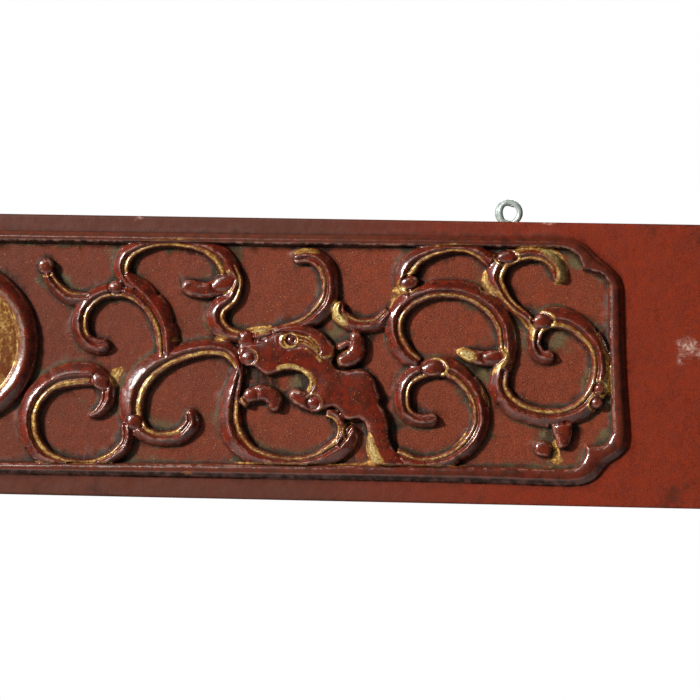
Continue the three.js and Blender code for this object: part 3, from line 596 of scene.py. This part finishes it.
def band_relief(band):
    """The height of a band over the grid, and how deep inside its gilding each point lies."""
    line = smooth_line(band["points"])
    near = Nearest(line, line[:, 2].max() / 2 + 1.5, HAND_DRAWN)
    opened = band.get("open", "")
    tip = np.ones(GX.shape)
    if opened in ("", "end"):
        tip = np.minimum(tip, round_end(near.along, line[0, 2] / 2))
    if opened in ("", "start"):
        tip = np.minimum(tip, round_end(near.length - near.along, line[-1, 2] / 2))
    half = np.maximum(near.width / 2 * tip, 1e-3)
    across = -band["side"] * near.side * near.distance / half
    for share in band.get("cuts", []):
        past = near.along - share * near.length
        cusp = np.where(past > 0, np.clip(1 - past / CUSP_LENGTH, 0, 1) ** 1.5, np.clip(1 + past, 0, 1))
        across = np.where(across > 0, across / (1 - CUSP_DEPTH * cusp), across)
    inside = (np.abs(across) <= 1) & (near.beyond < 0.05)
    top = (SCROLL_HEIGHT + band.get("rise", 0)) * (0.6 + 0.4 * tip)
    gilded = np.full(GX.shape, NOT_GILDED)
    if band.get("form") == "dome":
        return np.where(inside, along_profile(np.abs(across), DOME) * top, 0), gilded
    full = 2 * half
    inset = (across + 1) * half
    bead_width = np.clip(0.3 * full, 0.3, 5)
    groove_width = np.clip(0.07 * full, 0.1, 1)
    groove_level = 0.62 + 0.12 * np.clip(1.75 - full / 8, 0, 1)
    ridge = RIDGE_SHARE * full
    slope_start = bead_width + groove_width
    on_bead = along_profile(inset / bead_width, BEAD)
    climb = along_profile((inset - slope_start) / np.maximum(ridge - slope_start, 1e-3), INNER_SLOPE)
    inner = groove_level + (1 - groove_level) * climb
    outer = along_profile((inset - ridge) / np.maximum(full - ridge, 1e-3), OUTER_SLOPE)
    in_groove = np.clip(1 - np.abs(inset - bead_width - groove_width / 2) / (groove_width / 2), 0, 1)
    shape = np.where(inset < bead_width, on_bead, np.where(inset < ridge, inner, outer))
    shape = np.where((inset >= bead_width) & (inset < slope_start), groove_level, shape)
    relief = shape * top - GROOVE_DEPTH * in_groove
    if "gilt" in band:
        start, end, fullness = band["gilt"]
        share = near.along / near.length
        gilded = bead_width * (0.08 + 0.28 * fullness) - np.abs(inset - 0.66 * bead_width)
        gilded = np.where(inside & (share >= start) & (share <= end) & (tip > 0.7), gilded, NOT_GILDED)
    return np.where(inside, relief, 0), gilded


class Carving:
    """The relief of one half: its height above the ground and the depth inside its gilding."""

    def __init__(self):
        self.height = np.zeros(GX.shape)
        self.gilded = np.full(GX.shape, NOT_GILDED)

    def copy(self):
        other = Carving()
        other.height = self.height.copy()
        other.gilded = self.gilded.copy()
        return other

    def lay(self, bands):
        for band in bands.values():
            relief, gilded = band_relief(band)
            over = relief > self.height
            self.gilded = np.where(over, gilded, self.gilded)
            self.height = np.where(over, relief, self.height)

    def lay_figure(self):
        """The dragon's head and body as a pillow, fuller on the cheek and lower towards the nose."""
        depth = depth_inside(FIGURE, 14)
        top = SCROLL_HEIGHT * (1 + 0.05 * np.clip((GX - 215) / 40, -0.6, 1))
        relief = np.where(depth > 0, along_profile(depth, PILLOW) * top, 0)
        over = (relief > 0) & (relief > self.height - 1.5)
        self.height = np.where(over, relief, self.height)
        self.gilded = np.where(over, NOT_GILDED, self.gilded)

    def lay_boss(self, x, z, half_length, half_height, turn, start, end, fullness):
        """An oval boss in a cut ring, with a raised rim over the arc from start to end."""
        c, s = math.cos(math.radians(turn)), math.sin(math.radians(turn))
        a, b = (GX - x) * c + (GZ - z) * s, (GZ - z) * c - (GX - x) * s
        share = np.hypot(a / half_length, b / half_height)
        outside = (share - 1) * (half_length + half_height) / 2
        dome = SCROLL_HEIGHT * (0.68 + 0.32 * arch(share))
        raised = self.height > 1.5
        angle = (np.degrees(np.arctan2(b / half_height, a / half_length)) - start) % 360
        arc = np.clip(np.minimum(angle, (end - start) - angle) / 25 + 0.4, 0, 1) if end > start else 0
        ring = hump((outside - RING_PLACE) / RING_HALF_WIDTH)
        rim = arch((outside - RIM_PLACE) / RIM_HALF_WIDTH) * arc
        self.height = np.where((share >= 1) & raised, self.height - ring + 0.5 * rim, self.height)
        self.height = np.where(share < 1, dome, self.height)
        if fullness:
            on_rim = RIM_HALF_WIDTH * (0.4 + 0.6 * fullness) - np.abs(outside - RIM_PLACE)
            self.gilded = np.where(raised & (arc > 0.5), np.maximum(self.gilded, on_rim), self.gilded)
        self.gilded = np.where(share < 1, NOT_GILDED, self.gilded)

    def lay_lines(self):
        for width, rise, fullness, points in BEADS:
            distance = distance_to(points, width)
            self.height += np.where(self.height > 1, rise * arch(2 * distance / width), 0)
            if fullness:
                self.gilded = np.maximum(self.gilded, 2 * fullness * (width / 2 - distance))
        for width, depth, points in GROOVES:
            self.height -= np.where(self.height > 1, depth * hump(2 * distance_to(points, width) / width), 0)

    def gild(self):
        for fullness, points in GILDED:
            self.gilded = np.maximum(self.gilded, depth_inside(points, 4) - 0.5 * (1 - fullness))
        for half_width, fullness, points in GILDED_LINES:
            deep = half_width * (0.4 + 0.6 * fullness) - distance_to(points, 3)
            self.gilded = np.maximum(self.gilded, deep)


common = Carving()
common.lay(BANDS)
common.lay_figure()
common.lay(CREST)
for boss in BOSSES.values():
    common.lay_boss(*boss)
common.lay_lines()
common.gild()
right_half, left_half = common.copy(), common.copy()
right_half.lay(BROKEN_FOOT)
left_half.lay(WHOLE_FOOT)


def outline_distance(runs, reach):
    """Distance to an outline of the right half, and whether a point lies inside the closed outline."""
    line = np.vstack([smooth_line(run, 1) for run in runs])
    return Nearest(line, reach).distance, within(np.vstack([line, line[::-1] * [-1, 1]]))


def add_frame_and_medallion(half, hand):
    """Sets the ground, the moulding and the medallion round the carving of one half."""
    relief = np.where(inside_inner & (half.height > 0.05), half.height, ground)
    relief = np.maximum(relief, moulding)
    relief = np.where(radius < MEDALLION_RADIUS, medallion, relief)
    gilded = np.where(radius < MEDALLION_RADIUS, medallion_gilded, half.gilded)
    half.gilded = np.where(on_moulding, np.minimum(gilded, 0.1), gilded)
    half.height = relief + hand


to_inner, inside_inner = outline_distance(FRAME_INNER, 14)
to_outer, inside_outer = outline_distance(FRAME_OUTER, 14)
on_moulding = inside_outer & ~inside_inner
share = to_inner / np.maximum(to_inner + to_outer, 1e-6)
moulding = FRAME_HEIGHT * along_profile(share, MOULDING)
fillet = hump((share - 0.9) / 0.07) - hump((share - 0.78) / 0.06)
fillet *= FILLET_RISE * np.clip((GZ - FILLET_LOWEST) / FILLET_FADE, 0, 1)
moulding = np.where(on_moulding, moulding + fillet, 0)
radius = np.hypot(GX, GZ - MEDALLION_LIFT)
medallion = along_profile(radius, MEDALLION)
medallion_gilded = np.where(radius < LEAF_RADIUS + 0.4, LEAF_RADIUS - radius, NOT_GILDED)
ground = np.where(inside_inner, -GROUND_SINK * np.clip(to_inner / WALL_FOOT, 0, 1), 0)
carved = right_half.height > 0.6
for half, seed in ((right_half, 3), (left_half, 5)):
    hand = np.where(carved, CARVED_WAVES * blotches(seed, 7, 2), 0) + BOARD_WAVES * blotches(seed + 20, 16, 2)
    add_frame_and_medallion(half, hand)


def soften(field):
    """A light smoothing, as a coat of lacquer gives."""
    out = field.copy()
    for axis in (0, 1):
        out = (np.roll(out, 1, axis) + 2 * out + np.roll(out, -1, axis)) / 4
    edge = (GX > FIELD_END - 3) | (GZ < FIELD_LOW + 1) | (GZ > FIELD_HIGH - 1) | (GX < 1)
    return np.where(edge, field, out)


def blur(field, sigma):
    """A soft average over the fine part of the grid, by three passes of a box."""
    out = field.copy()
    n = max(1, int(round(sigma / STEP)))
    for _ in range(3):
        for axis in (0, 1):
            pad = [(n + 1, n) if a == axis else (0, 0) for a in (0, 1)]
            total = np.cumsum(np.pad(out, pad, mode="edge"), axis=axis)
            high = np.take(total, range(2 * n + 1, total.shape[axis]), axis=axis)
            low = np.take(total, range(0, total.shape[axis] - 2 * n - 1), axis=axis)
            out = (high - low) / (2 * n + 1)
    return out


def both(right, left=None):
    """Joins the fields of the two halves into one. The left one is like the right one if none is given."""
    left = right if left is None else left
    return np.vstack([left[:0:-1], right])


def spots(places):
    """A soft field that is strong inside each of the round places."""
    out = np.zeros(GX.shape)
    for x, z, reach, strength in places:
        out = np.maximum(out, strength * np.clip(1.3 - np.hypot(GX - x, GZ - z) / reach, 0, 1))
    return out


# Both halves together: heights, and the masks that the materials read
all_x = np.concatenate([-gx[:0:-1], gx])
X, Z = np.meshgrid(all_x, gz, indexing="ij")
to_edge = np.minimum(BOARD_LENGTH / 2 - np.abs(X), BOARD_HEIGHT / 2 - np.abs(Z))
from_medallion = np.hypot(X, Z - MEDALLION_LIFT)
height = both(soften(right_half.height), soften(left_half.height))
height = np.minimum(height, HIGHEST) - EDGE_WEAR * np.clip(1 - to_edge / EDGE_WEAR_WIDTH, 0, 1) ** 2
raised = np.where(height > CARVED_FROM, 1.0, 0.0)
patchy = both(blotches(33, 12), blotches(31, 12))
beside_relief = np.clip(0.3 + 1.6 * blur(raised, 5), 0, 1)
dirty = both(spots(GRIME), spots(GRIME) * 0.7) * beside_relief * (1 + 0.5 * patchy)
grime = np.maximum(np.clip((blur(raised, 3) - 0.14) * 1.8, 0, 0.8) * (1 + 0.9 * patchy), dirty)
# Painted shade: where the surface faces down, fully on the moulding and at 0.3 on the carving, to darken its
# undersides
underside = np.clip((np.gradient(height, gz, axis=1) - 0.3) / 0.5, 0, 1)
on_ground = both(inside_inner) & (raised < 0.5)
MASKS = {
    "gilded": np.clip(both(right_half.gilded, left_half.gilded), -3, 3),
    "grime": np.clip(grime, 0, 1.5),
    "scuff": both(spots(SCUFFS), np.zeros(GX.shape)),
    "darkened": np.clip(0.45 * (1 - np.abs(X) / 300), 0, 1),
    "painted_shade_facing_down": underside * np.where(both(on_moulding), 1, 0.3),
    "stain": both(spots(STAINS)) + 0.5 * np.clip(1.5 - to_edge / 1.8, 0, 1),
    "hollow": blur(height, 2.2) - height,
    "ridge": height - blur(height, 1.1),
    "raised": blur(raised, 0.5),
    # A duller, greyer tone towards the top and bottom, fading towards the plank's ends
    "dulled_towards_edges": np.clip((np.abs(Z) - 55) / 40, 0, 0.8) * np.clip((430 - np.abs(X)) / 200, 0.1, 1),
    "ground": blur(on_ground.astype(float), 0.5),
    "inner": np.clip(both(np.where(inside_inner, to_inner, -to_inner)), -3, 3),
    "disc": np.clip(LEAF_RADIUS + 0.5 - from_medallion, -2, 2),
    "rim": np.clip(RUBBED_HIGHLIGHT_HALF_WIDTH - np.abs(from_medallion - RUBBED_HIGHLIGHT_RADIUS), -2, 2),
}


def closed_mesh(name):
    """The panel as one closed mesh: the front grid, the plank's edges and one flat back."""
    nx, nz = X.shape
    front = np.stack([X, -BOARD_THICKNESS - height, Z], -1).reshape(-1, 3) * MM
    index = np.arange(nx * nz).reshape(nx, nz)
    quads = np.stack([index[:-1, :-1], index[1:, :-1], index[1:, 1:], index[:-1, 1:]], -1).reshape(-1, 4)
    border = np.concatenate([index[:-1, 0], index[-1, :-1], index[:0:-1, -1], index[0, :0:-1]])
    back = front[border].copy()
    back[:, 1] = 0
    behind = len(front) + np.arange(len(border))
    sides = np.stack([border, behind, np.roll(behind, -1), np.roll(border, -1)], -1)
    vertices = np.vstack([front, back])
    faces = np.vstack([quads, sides])
    mesh = bpy.data.meshes.new(name)
    mesh.vertices.add(len(vertices))
    mesh.vertices.foreach_set("co", vertices.ravel())
    mesh.loops.add(faces.size + len(behind))
    mesh.loops.foreach_set("vertex_index", np.concatenate([faces.ravel(), behind[::-1]]))
    mesh.polygons.add(len(faces) + 1)
    mesh.polygons.foreach_set("loop_start", np.concatenate([np.arange(len(faces)) * 4, [len(faces) * 4]]))
    mesh.update(calc_edges=True)
    mesh.validate()
    return mesh


def thinned(piece, triangles):
    """Brings a piece down to a number of triangles, most of them left where the surface turns."""
    now = sum(len(p.vertices) - 2 for p in piece.data.polygons)
    made = piece.modifiers.new("thin", "DECIMATE")
    made.ratio = triangles / max(now, triangles)
    bpy.context.view_layer.update()
    evaluated = piece.evaluated_get(bpy.context.evaluated_depsgraph_get())
    mesh = bpy.data.meshes.new_from_object(evaluated)
    piece.modifiers.clear()
    piece.data = mesh


def vertex_places(mesh):
    places = np.zeros(len(mesh.vertices) * 3)
    mesh.vertices.foreach_get("co", places)
    return places.reshape(-1, 3)


def keep_inside(mesh):
    """Brings vertices that the thinning pushed out back into the plank's box."""
    limits = np.array([BOARD_LENGTH / 2, BOARD_THICKNESS + HIGHEST, BOARD_HEIGHT / 2]) * MM
    places = np.clip(vertex_places(mesh), -limits, [limits[0], 0, limits[2]])
    mesh.vertices.foreach_set("co", places.ravel())
    mesh.update()


def write_masks(mesh):
    """Reads the masks at the mesh's vertices and keeps them as attributes."""
    x, _, z = (vertex_places(mesh) / MM).T
    ix = np.clip(np.searchsorted(all_x, x) - 1, 0, len(all_x) - 2)
    iz = np.clip(np.searchsorted(gz, z) - 1, 0, len(gz) - 2)
    fx = np.clip((x - all_x[ix]) / (all_x[ix + 1] - all_x[ix]), 0, 1)
    fz = np.clip((z - gz[iz]) / (gz[iz + 1] - gz[iz]), 0, 1)
    for name, field in MASKS.items():
        layer = mesh.attributes.new(name, "FLOAT", "POINT")
        layer.data.foreach_set("value", read_grid(field, ix, iz, fx, fz).astype(np.float32))


class Paint:
    """A material made of nodes. Values are passed from one call to the next as sockets or plain numbers."""

    def __init__(self, name):
        self.material = bpy.data.materials.new(name)
        self.material.use_nodes = True
        self.tree = self.material.node_tree
        self.shader = self.tree.nodes["Principled BSDF"]
        scale = self.node("VectorMath")
        scale.operation = "SCALE"
        scale.inputs["Scale"].default_value = 1 / MM
        self.tree.links.new(self.node("TexCoord").outputs["Object"], scale.inputs[0])
        self.place = scale.outputs[0]

    def node(self, kind, **values):
        """A new node with the given plain values at its inputs."""
        made = self.tree.nodes.new("ShaderNode" + kind)
        for name, value in values.items():
            made.inputs[name].default_value = value
        return made

    def put(self, socket, value):
        if isinstance(value, bpy.types.NodeSocket):
            self.tree.links.new(value, socket)
        elif isinstance(value, tuple) and len(value) == 3 and len(socket.default_value) == 4:
            socket.default_value = (*value, 1)
        else:
            socket.default_value = value

    def give(self, name, value):
        """Sets one of the shader's own inputs."""
        self.put(self.shader.inputs[name], value)

    def attribute(self, name):
        node = self.node("Attribute")
        node.attribute_name = name
        return node.outputs["Fac"]

    def noise(self, pitch, detail=3, rough=0.55, stretch=(1, 1, 1), shift=0):
        """Noise with blots about pitch millimetres across."""
        mapping = self.node("Mapping", Scale=stretch, Location=(shift, shift * 0.7, -shift))
        self.tree.links.new(self.place, mapping.inputs["Vector"])
        node = self.node("TexNoise", Scale=1 / pitch, Detail=detail, Roughness=rough)
        self.tree.links.new(mapping.outputs["Vector"], node.inputs["Vector"])
        return node.outputs["Fac"]

    def specks(self, pitch, size, share):
        """Scattered specks about pitch millimetres apart; size is in cells and share is how many are kept."""
        node = self.node("TexVoronoi", Scale=1 / pitch)
        self.tree.links.new(self.place, node.inputs["Vector"])
        parts = self.node("SeparateColor")
        self.tree.links.new(node.outputs["Color"], parts.inputs[0])
        kept = self.step(parts.outputs[0], 1 - share, 1 - share + 0.02)
        return self.times(self.step(node.outputs["Distance"], size, size * 1.8, 1, 0), kept)

    def math(self, operation, a, b, clamp=False):
        node = self.node("Math")
        node.operation = operation
        node.use_clamp = clamp
        self.put(node.inputs[0], a)
        self.put(node.inputs[1], b)
        return node.outputs[0]

    def times(self, a, b):
        return self.math("MULTIPLY", a, b)

    def plus(self, total, *more):
        for value in more:
            total = self.math("ADD", total, value)
        return total

    def broken(self, value, noise, amount):
        """The value with its edges broken up by a noise."""
        return self.plus(value, self.times(self.math("SUBTRACT", noise, 0.5), amount))

    def step(self, value, low, high, to_low=0, to_high=1):
        """A smooth step from to_low at low to to_high at high."""
        node = self.tree.nodes.new("ShaderNodeMapRange")
        node.interpolation_type = "SMOOTHSTEP"
        for key, number in (("From Min", low), ("From Max", high), ("To Min", to_low), ("To Max", to_high)):
            node.inputs[key].default_value = number
        self.put(node.inputs["Value"], value)
        return node.outputs["Result"]

    def mix(self, share, a, b):
        node = self.node("Mix")
        node.data_type = "RGBA"
        for socket, value in (("Factor", share), (6, a), (7, b)):
            self.put(node.inputs[socket], value)
        return node.outputs[2]

    def layers(self, surface, *coats):
        """Lays coats over a surface in turn, each a share and a colour."""
        for share, coat in coats:
            surface = self.mix(share, surface, coat)
        return surface

    def bump(self, height, distance):
        node = self.node("Bump", Strength=1, Distance=distance * MM)
        self.put(node.inputs["Height"], height)
        self.give("Normal", node.outputs["Normal"])


def colour(r, g, b):
    """An sRGB colour from 0 to 255 as linear values."""
    def linear(c):
        c /= 255
        return c / 12.92 if c <= 0.04045 else ((c + 0.055) / 1.055) ** 2.4
    return tuple(linear(c) for c in (r, g, b))


def lacquer_colour(p, fine, mid):
    """Orange-red on the ground, deeper red on the margins and dark red-brown on the relief."""
    grain = p.noise(1.7, 3, 0.6, shift=7)
    patch = p.step(p.noise(11, 3, 0.5, shift=29), 0.38, 0.62, 0.15, 0.7)
    dulled_towards_edges = p.attribute("dulled_towards_edges")
    ground_red = p.layers(
        p.mix(p.step(p.noise(55, 4), 0.35, 0.65), colour(118, 46, 26), colour(100, 41, 26)),
        (p.step(mid, 0.34, 0.66, 0, 0.75), colour(84, 32, 20)),
        (p.times(patch, p.step(grain, 0.42, 0.6, 1, 0)), colour(76, 27, 16)),
        (p.step(fine, 0.42, 0.64, 0, 0.75), colour(156, 78, 48)),
        (p.attribute("darkened"), colour(62, 34, 26)),
        (p.step(p.attribute("grime"), 0.05, 0.7, 0, 0.55), colour(86, 40, 25)),
    )
    margin_red = p.layers(
        p.mix(p.step(mid, 0.3, 0.7), colour(124, 40, 18), colour(106, 35, 18)),
        (p.times(patch, p.step(grain, 0.42, 0.6, 0.9, 0)), colour(84, 26, 13)),
        (p.step(fine, 0.42, 0.64, 0, 0.7), colour(146, 54, 27)),
        (p.step(dulled_towards_edges, 0, 1), colour(84, 49, 39)),
    )
    relief_red = p.layers(
        p.mix(p.step(mid, 0.38, 0.62), colour(108, 32, 17), colour(70, 20, 12)),
        (p.step(fine, 0.45, 0.75, 0, 0.5), colour(134, 54, 32)),
    )
    frame_red = p.layers(
        p.mix(p.step(mid, 0.38, 0.65), colour(100, 38, 25), colour(70, 26, 18)),
        (p.step(dulled_towards_edges, 0, 1, 0, 0.35), colour(122, 80, 64)),
    )
    inside = p.step(p.attribute("inner"), -0.4, 0.4)
    flat = p.mix(inside, margin_red, ground_red)
    return p.mix(p.step(p.attribute("raised"), 0.3, 0.8), flat, p.mix(inside, frame_red, relief_red))


def dirt_and_colour(p, fine, mid):
    """Grey-green dirt on the ground beside the relief: how much, and its colour."""
    dirt = p.broken(p.attribute("grime"), p.noise(3.2, 5, 0.65, shift=40), 1.1)
    dirt = p.step(p.broken(dirt, p.noise(0.9, 3, 0.6, shift=3), 1), 0.25, 0.95)
    dirt = p.times(dirt, p.step(p.attribute("ground"), 0.2, 0.7, 0.05, 0.85))
    shade = p.mix(p.step(fine, 0.35, 0.7), colour(66, 62, 42), colour(112, 106, 76))
    return dirt, p.mix(p.step(mid, 0.4, 0.7, 0, 0.7), shade, colour(98, 88, 48))


def leaf_and_colour(p, worn):
    """The leaf that is left of the gilding, streaky on the disc and bright on the facets."""
    disc = p.attribute("disc")
    streaks = p.step(p.noise(5, 4, 0.6, (1, 1, 0.3), 83), 0.42, 0.62, 0.06, 0.85)
    kept = p.times(
        p.step(p.noise(15, 3, shift=71), 0.36, 0.56, 0.35, 1),
        p.step(p.noise(1.3, 5, 0.75, shift=31), 0.4, 0.55, 0.1, 1),
    )
    kept = p.times(kept, p.math("MAXIMUM", streaks, p.step(disc, -0.5, 0.5, 1, 0)))
    gilt = p.mix(p.step(p.noise(3, 4, shift=5), 0.38, 0.58), colour(158, 106, 42), colour(232, 190, 106))
    facet = p.times(p.step(p.attribute("gilded"), 1.3, 2.1, 0, 0.75), p.step(disc, -0.5, 0, 1, 0))
    return p.times(p.step(worn, -0.1, 0.4), kept), p.mix(facet, gilt, colour(250, 228, 152))


def flecks(p):
    """Gold dust, strewn over the ground and gathered in its dirt."""
    strewn = p.times(p.step(p.noise(14, 3, shift=61), 0.4, 0.6, 0.25, 1), p.specks(1.5, 0.1, 0.24))
    gathered = p.times(p.specks(1, 0.13, 0.3), p.step(p.attribute("grime"), 0.15, 0.6, 0, 0.8))
    gathered = p.times(gathered, p.step(p.noise(9, 3, shift=47), 0.46, 0.6))
    return p.times(p.math("MAXIMUM", strewn, gathered), p.step(p.attribute("inner"), 0.3, 0.8, 0.1, 0.95))


def scuff_and_colour(p, raised):
    """Scuffs, paler inside and brown where they lie on the carving."""
    scuff = p.attribute("scuff")
    pale = p.times(p.step(scuff, 0.5, 0.9), p.step(p.noise(2.4, 5, 0.8, shift=15), 0.48, 0.56))
    shade = p.mix(pale, colour(140, 88, 76), colour(204, 176, 162))
    scuff = p.step(p.broken(scuff, p.noise(2.2, 5, 0.75, (1, 1, 2.5), 53), 1.6), 0.55, 0.8, 0, 0.75)
    return scuff, p.mix(p.step(raised, 0.3, 0.8), shade, colour(152, 92, 44))


def lacquer_paint():
    """Old lacquer with worn gilding on the inner beads, dirt along the feet, painted shade on the undersides
    and in the hollows, and pale ridges that are partly rubbed wear and partly a painted highlight.
    """
    p = Paint("lacquer")
    raised = p.attribute("raised")
    fine, mid = p.noise(0.8, 4, 0.65), p.noise(6, 5, 0.6)
    dirt, dirt_colour = dirt_and_colour(p, fine, mid)
    stain = p.step(p.broken(p.attribute("stain"), p.noise(5, 5, 0.7, shift=91), 1.4), 0.3, 0.9, 0, 0.6)
    # Painted shade on the undersides: near black, and matte through the roughness and specular below
    painted_underside_shade = p.times(p.attribute("painted_shade_facing_down"), p.step(mid, 0.3, 0.6, 0.55, 0.9))
    # Painted shade in the hollows beside tall relief, near black
    corners = p.step(p.broken(p.attribute("hollow"), mid, 1.2), 0.35, 1.9, 0, 0.9)
    # Pale on the ridges: partly rubbed wear, partly a painted highlight
    ridges = p.step(p.attribute("ridge"), 0.32, 0.75)
    rubbed_and_highlight = p.times(ridges, p.step(p.noise(4, 4, shift=9), 0.44, 0.6, 0, 0.6))
    # A pale band round the medallion's disc: partly worn paint, partly a painted highlight
    rim = p.step(p.broken(p.attribute("rim"), p.noise(3, 5, 0.75, shift=23), 8), 0.6, 2.4, 0, 0.42)
    worn = p.broken(p.attribute("gilded"), p.noise(4.5, 5, 0.7, shift=17), 1.9)
    brown_edge = p.step(worn, -0.55, -0.05, 0, 0.8)
    leaf, gilt = leaf_and_colour(p, worn)
    scuff, scuff_colour = scuff_and_colour(p, raised)
    surface = p.layers(
        lacquer_colour(p, fine, mid),
        (dirt, dirt_colour),
        (stain, colour(56, 32, 22)),
        (painted_underside_shade, colour(30, 17, 14)),
        (corners, colour(24, 14, 11)),
        (rubbed_and_highlight, colour(168, 122, 106)),
        (rim, colour(150, 130, 112)),
        (brown_edge, colour(104, 54, 26)),
        (leaf, gilt),
        (flecks(p), colour(212, 160, 104)),
        (scuff, scuff_colour),
    )
    p.give("Base Color", surface)
    p.give("Metallic", p.times(leaf, 0.45))
    gloss = p.step(raised, 0.3, 0.8, 0.28, 0.95)
    p.give("Specular IOR Level", p.math("SUBTRACT", gloss, p.times(painted_underside_shade, 0.9), clamp=True))
    p.give("Roughness", p.plus(
        p.step(raised, 0.3, 0.8, 0.5, 0.22),
        p.step(mid, 0.3, 0.7, -0.03, 0.05),
        p.step(p.attribute("inner"), -0.4, 0.4, -0.04, 0),
        p.times(p.plus(dirt, painted_underside_shade), 0.25),
        p.times(leaf, 0.08),
    ))
    p.bump(p.plus(p.times(fine, 0.22), p.times(p.noise(7, 2, 0.5), 1.3)), 0.3)
    return p.material


def wood_paint():
    """Bare old wood for the back: grain along the plank, darkened unevenly."""
    p = Paint("bare_wood")
    grain = p.noise(1.1, 5, 0.6, stretch=(0.03, 1, 1))
    bands = p.noise(9, 4, 0.55, stretch=(0.05, 1, 1), shift=12)
    p.give("Base Color", p.layers(
        p.mix(p.step(grain, 0.35, 0.7), colour(134, 100, 70), colour(98, 70, 48)),
        (p.step(bands, 0.4, 0.65, 0, 0.7), colour(112, 82, 58)),
        (p.step(p.noise(120, 3), 0.4, 0.7, 0, 0.6), colour(78, 58, 44)),
    ))
    p.give("Roughness", p.step(grain, 0.3, 0.7, 0.72, 0.86))
    p.bump(p.plus(grain, bands), 0.4)
    return p.material


def zinc_paint():
    """Dull zinc plating with a greenish cast and faint tool marks."""
    p = Paint("zinc")
    cloud = p.noise(3, 4)
    p.give("Base Color", p.mix(p.step(cloud, 0.35, 0.65), colour(204, 216, 212), colour(164, 180, 174)))
    p.give("Roughness", p.step(cloud, 0.3, 0.7, 0.22, 0.36))
    p.give("Metallic", 0.35)
    p.bump(p.noise(0.7, 4), 0.05)
    return p.material


def make_panel():
    """The panel, lacquered on the front and edges, with bare wood on its flat back."""
    panel = add_object("carved_panel", closed_mesh("carved_panel"))
    thinned(panel, TRIANGLES)
    mesh = panel.data
    keep_inside(mesh)
    write_masks(mesh)
    mesh.materials.append(lacquer_paint())
    mesh.materials.append(wood_paint())
    for polygon in mesh.polygons:
        polygon.use_smooth = True
        on_back = polygon.normal.y > 0.9 and polygon.center.y > -1e-6
        if on_back:
            polygon.material_index = 1
    mesh.set_sharp_from_angle(angle=math.radians(60))
    return panel


panel = make_panel()
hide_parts("carved_board")
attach(panel, "root")

# The screw eyes: a wire that rises from its shank and is bent round by a turn and a half
WIRE_RADIUS = 2.0
WIRE_SIDES = 16
WIRE_SPACING = 0.45  # between the rings of vertices along the wire
WIRE_BLUNTING = 0.9  # how far its free end is rounded off
SHANK_DEPTH = 15.6  # of its point below the plank's top edge
SHANK_STEP = 2
EYE_CENTRE = BOARD_HEIGHT / 2 - EYE_BITE + EYE_RADIUS
# Places along the bent wire: [angle in degrees from the right, radius, depth towards the viewer]
EYE_BEND = [
    [-92, 7.1, 0], [-120, 6.9, 0.2], [-150, 6.3, 0.5], [-185, 6.1, 0.7], [-215, 6.5, 0.6], [-245, 7, 0.3],
    [-270, 7.2, 0.1], [-300, 7.2, 0], [-330, 7.3, -0.1], [-360, 7.4, -0.2], [-390, 7.3, -0.5],
    [-420, 7.1, -1], [-450, 7.2, -1.5], [-480, 7.3, -1.7], [-510, 7.4, -1.7], [-540, 7.4, -1.6],
    [-570, 7.3, -1.4], [-600, 7, -1.3], [-630, 6.6, -1.2], [-660, 6.1, -1], [-672, 5.9, -1],
]


def screw_eye(name, x, material):
    """A round wire swept along its shank and bend, with a blunt end."""
    middle = -BOARD_THICKNESS / 2
    shank = [[x, middle, BOARD_HEIGHT / 2 - SHANK_DEPTH + SHANK_STEP * k] for k in range(5)]
    bend = []
    for degrees, reach, depth in EYE_BEND:
        angle = math.radians(degrees)
        bend.append([x + reach * math.cos(angle), middle - depth, EYE_CENTRE + reach * math.sin(angle)])
    line = smooth_line(shank + bend, WIRE_SPACING)
    turns = np.arange(WIRE_SIDES) / WIRE_SIDES * math.tau
    rings, faces = [], []
    for i, point in enumerate(line):
        ahead = line[min(i + 1, len(line) - 1)] - line[max(i - 1, 0)]
        ahead = ahead / np.linalg.norm(ahead)
        a = np.array([0.0, 1.0, 0.0]) - ahead * ahead[1]
        a /= np.linalg.norm(a)
        b = np.cross(ahead, a)
        from_end = (len(line) - 1 - i) * WIRE_SPACING
        thick = WIRE_RADIUS * math.sqrt(max(0.3, 1 - max(0, 1 - from_end / WIRE_BLUNTING) ** 2))
        rings.append(point + thick * (np.cos(turns)[:, None] * a + np.sin(turns)[:, None] * b))
    for i in range(len(rings) - 1):
        for j in range(WIRE_SIDES):
            k = (j + 1) % WIRE_SIDES
            low, high = i * WIRE_SIDES, (i + 1) * WIRE_SIDES
            faces.append((low + j, low + k, high + k, high + j))
    faces.append(tuple(range(WIRE_SIDES))[::-1])
    faces.append(tuple((len(rings) - 1) * WIRE_SIDES + j for j in range(WIRE_SIDES)))
    made = bpy.data.meshes.new(name)
    made.from_pydata((np.vstack(rings) * MM).tolist(), [], faces)
    made.update()
    for polygon in made.polygons:
        polygon.use_smooth = True
    made.materials.append(material)
    return add_object(name, made)


zinc = zinc_paint()
for side, mirror in (("left", -1), ("right", 1)):
    eye = screw_eye("bent_eye_" + side, mirror * (BOARD_LENGTH / 2 - EYE_INSET), zinc)
    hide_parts("screw_eye_" + side)
    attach(eye, "root")

# The floor, well below the panel
FLOOR = -2.4
FLOOR_HALF = 3


def make_floor():
    mesh = bpy.data.meshes.new("floor")
    corners = [(x * FLOOR_HALF, y * FLOOR_HALF, FLOOR) for x, y in ((-1, -1), (1, -1), (1, 1), (-1, 1))]
    mesh.from_pydata(corners, [], [(0, 1, 2, 3)])
    material = bpy.data.materials.new("pale_floor")
    material.use_nodes = True
    shader = material.node_tree.nodes["Principled BSDF"]
    shader.inputs["Base Color"].default_value = (0.82, 0.82, 0.81, 1)
    shader.inputs["Roughness"].default_value = 0.8
    mesh.materials.append(material)
    return add_object("floor", mesh)


make_floor()
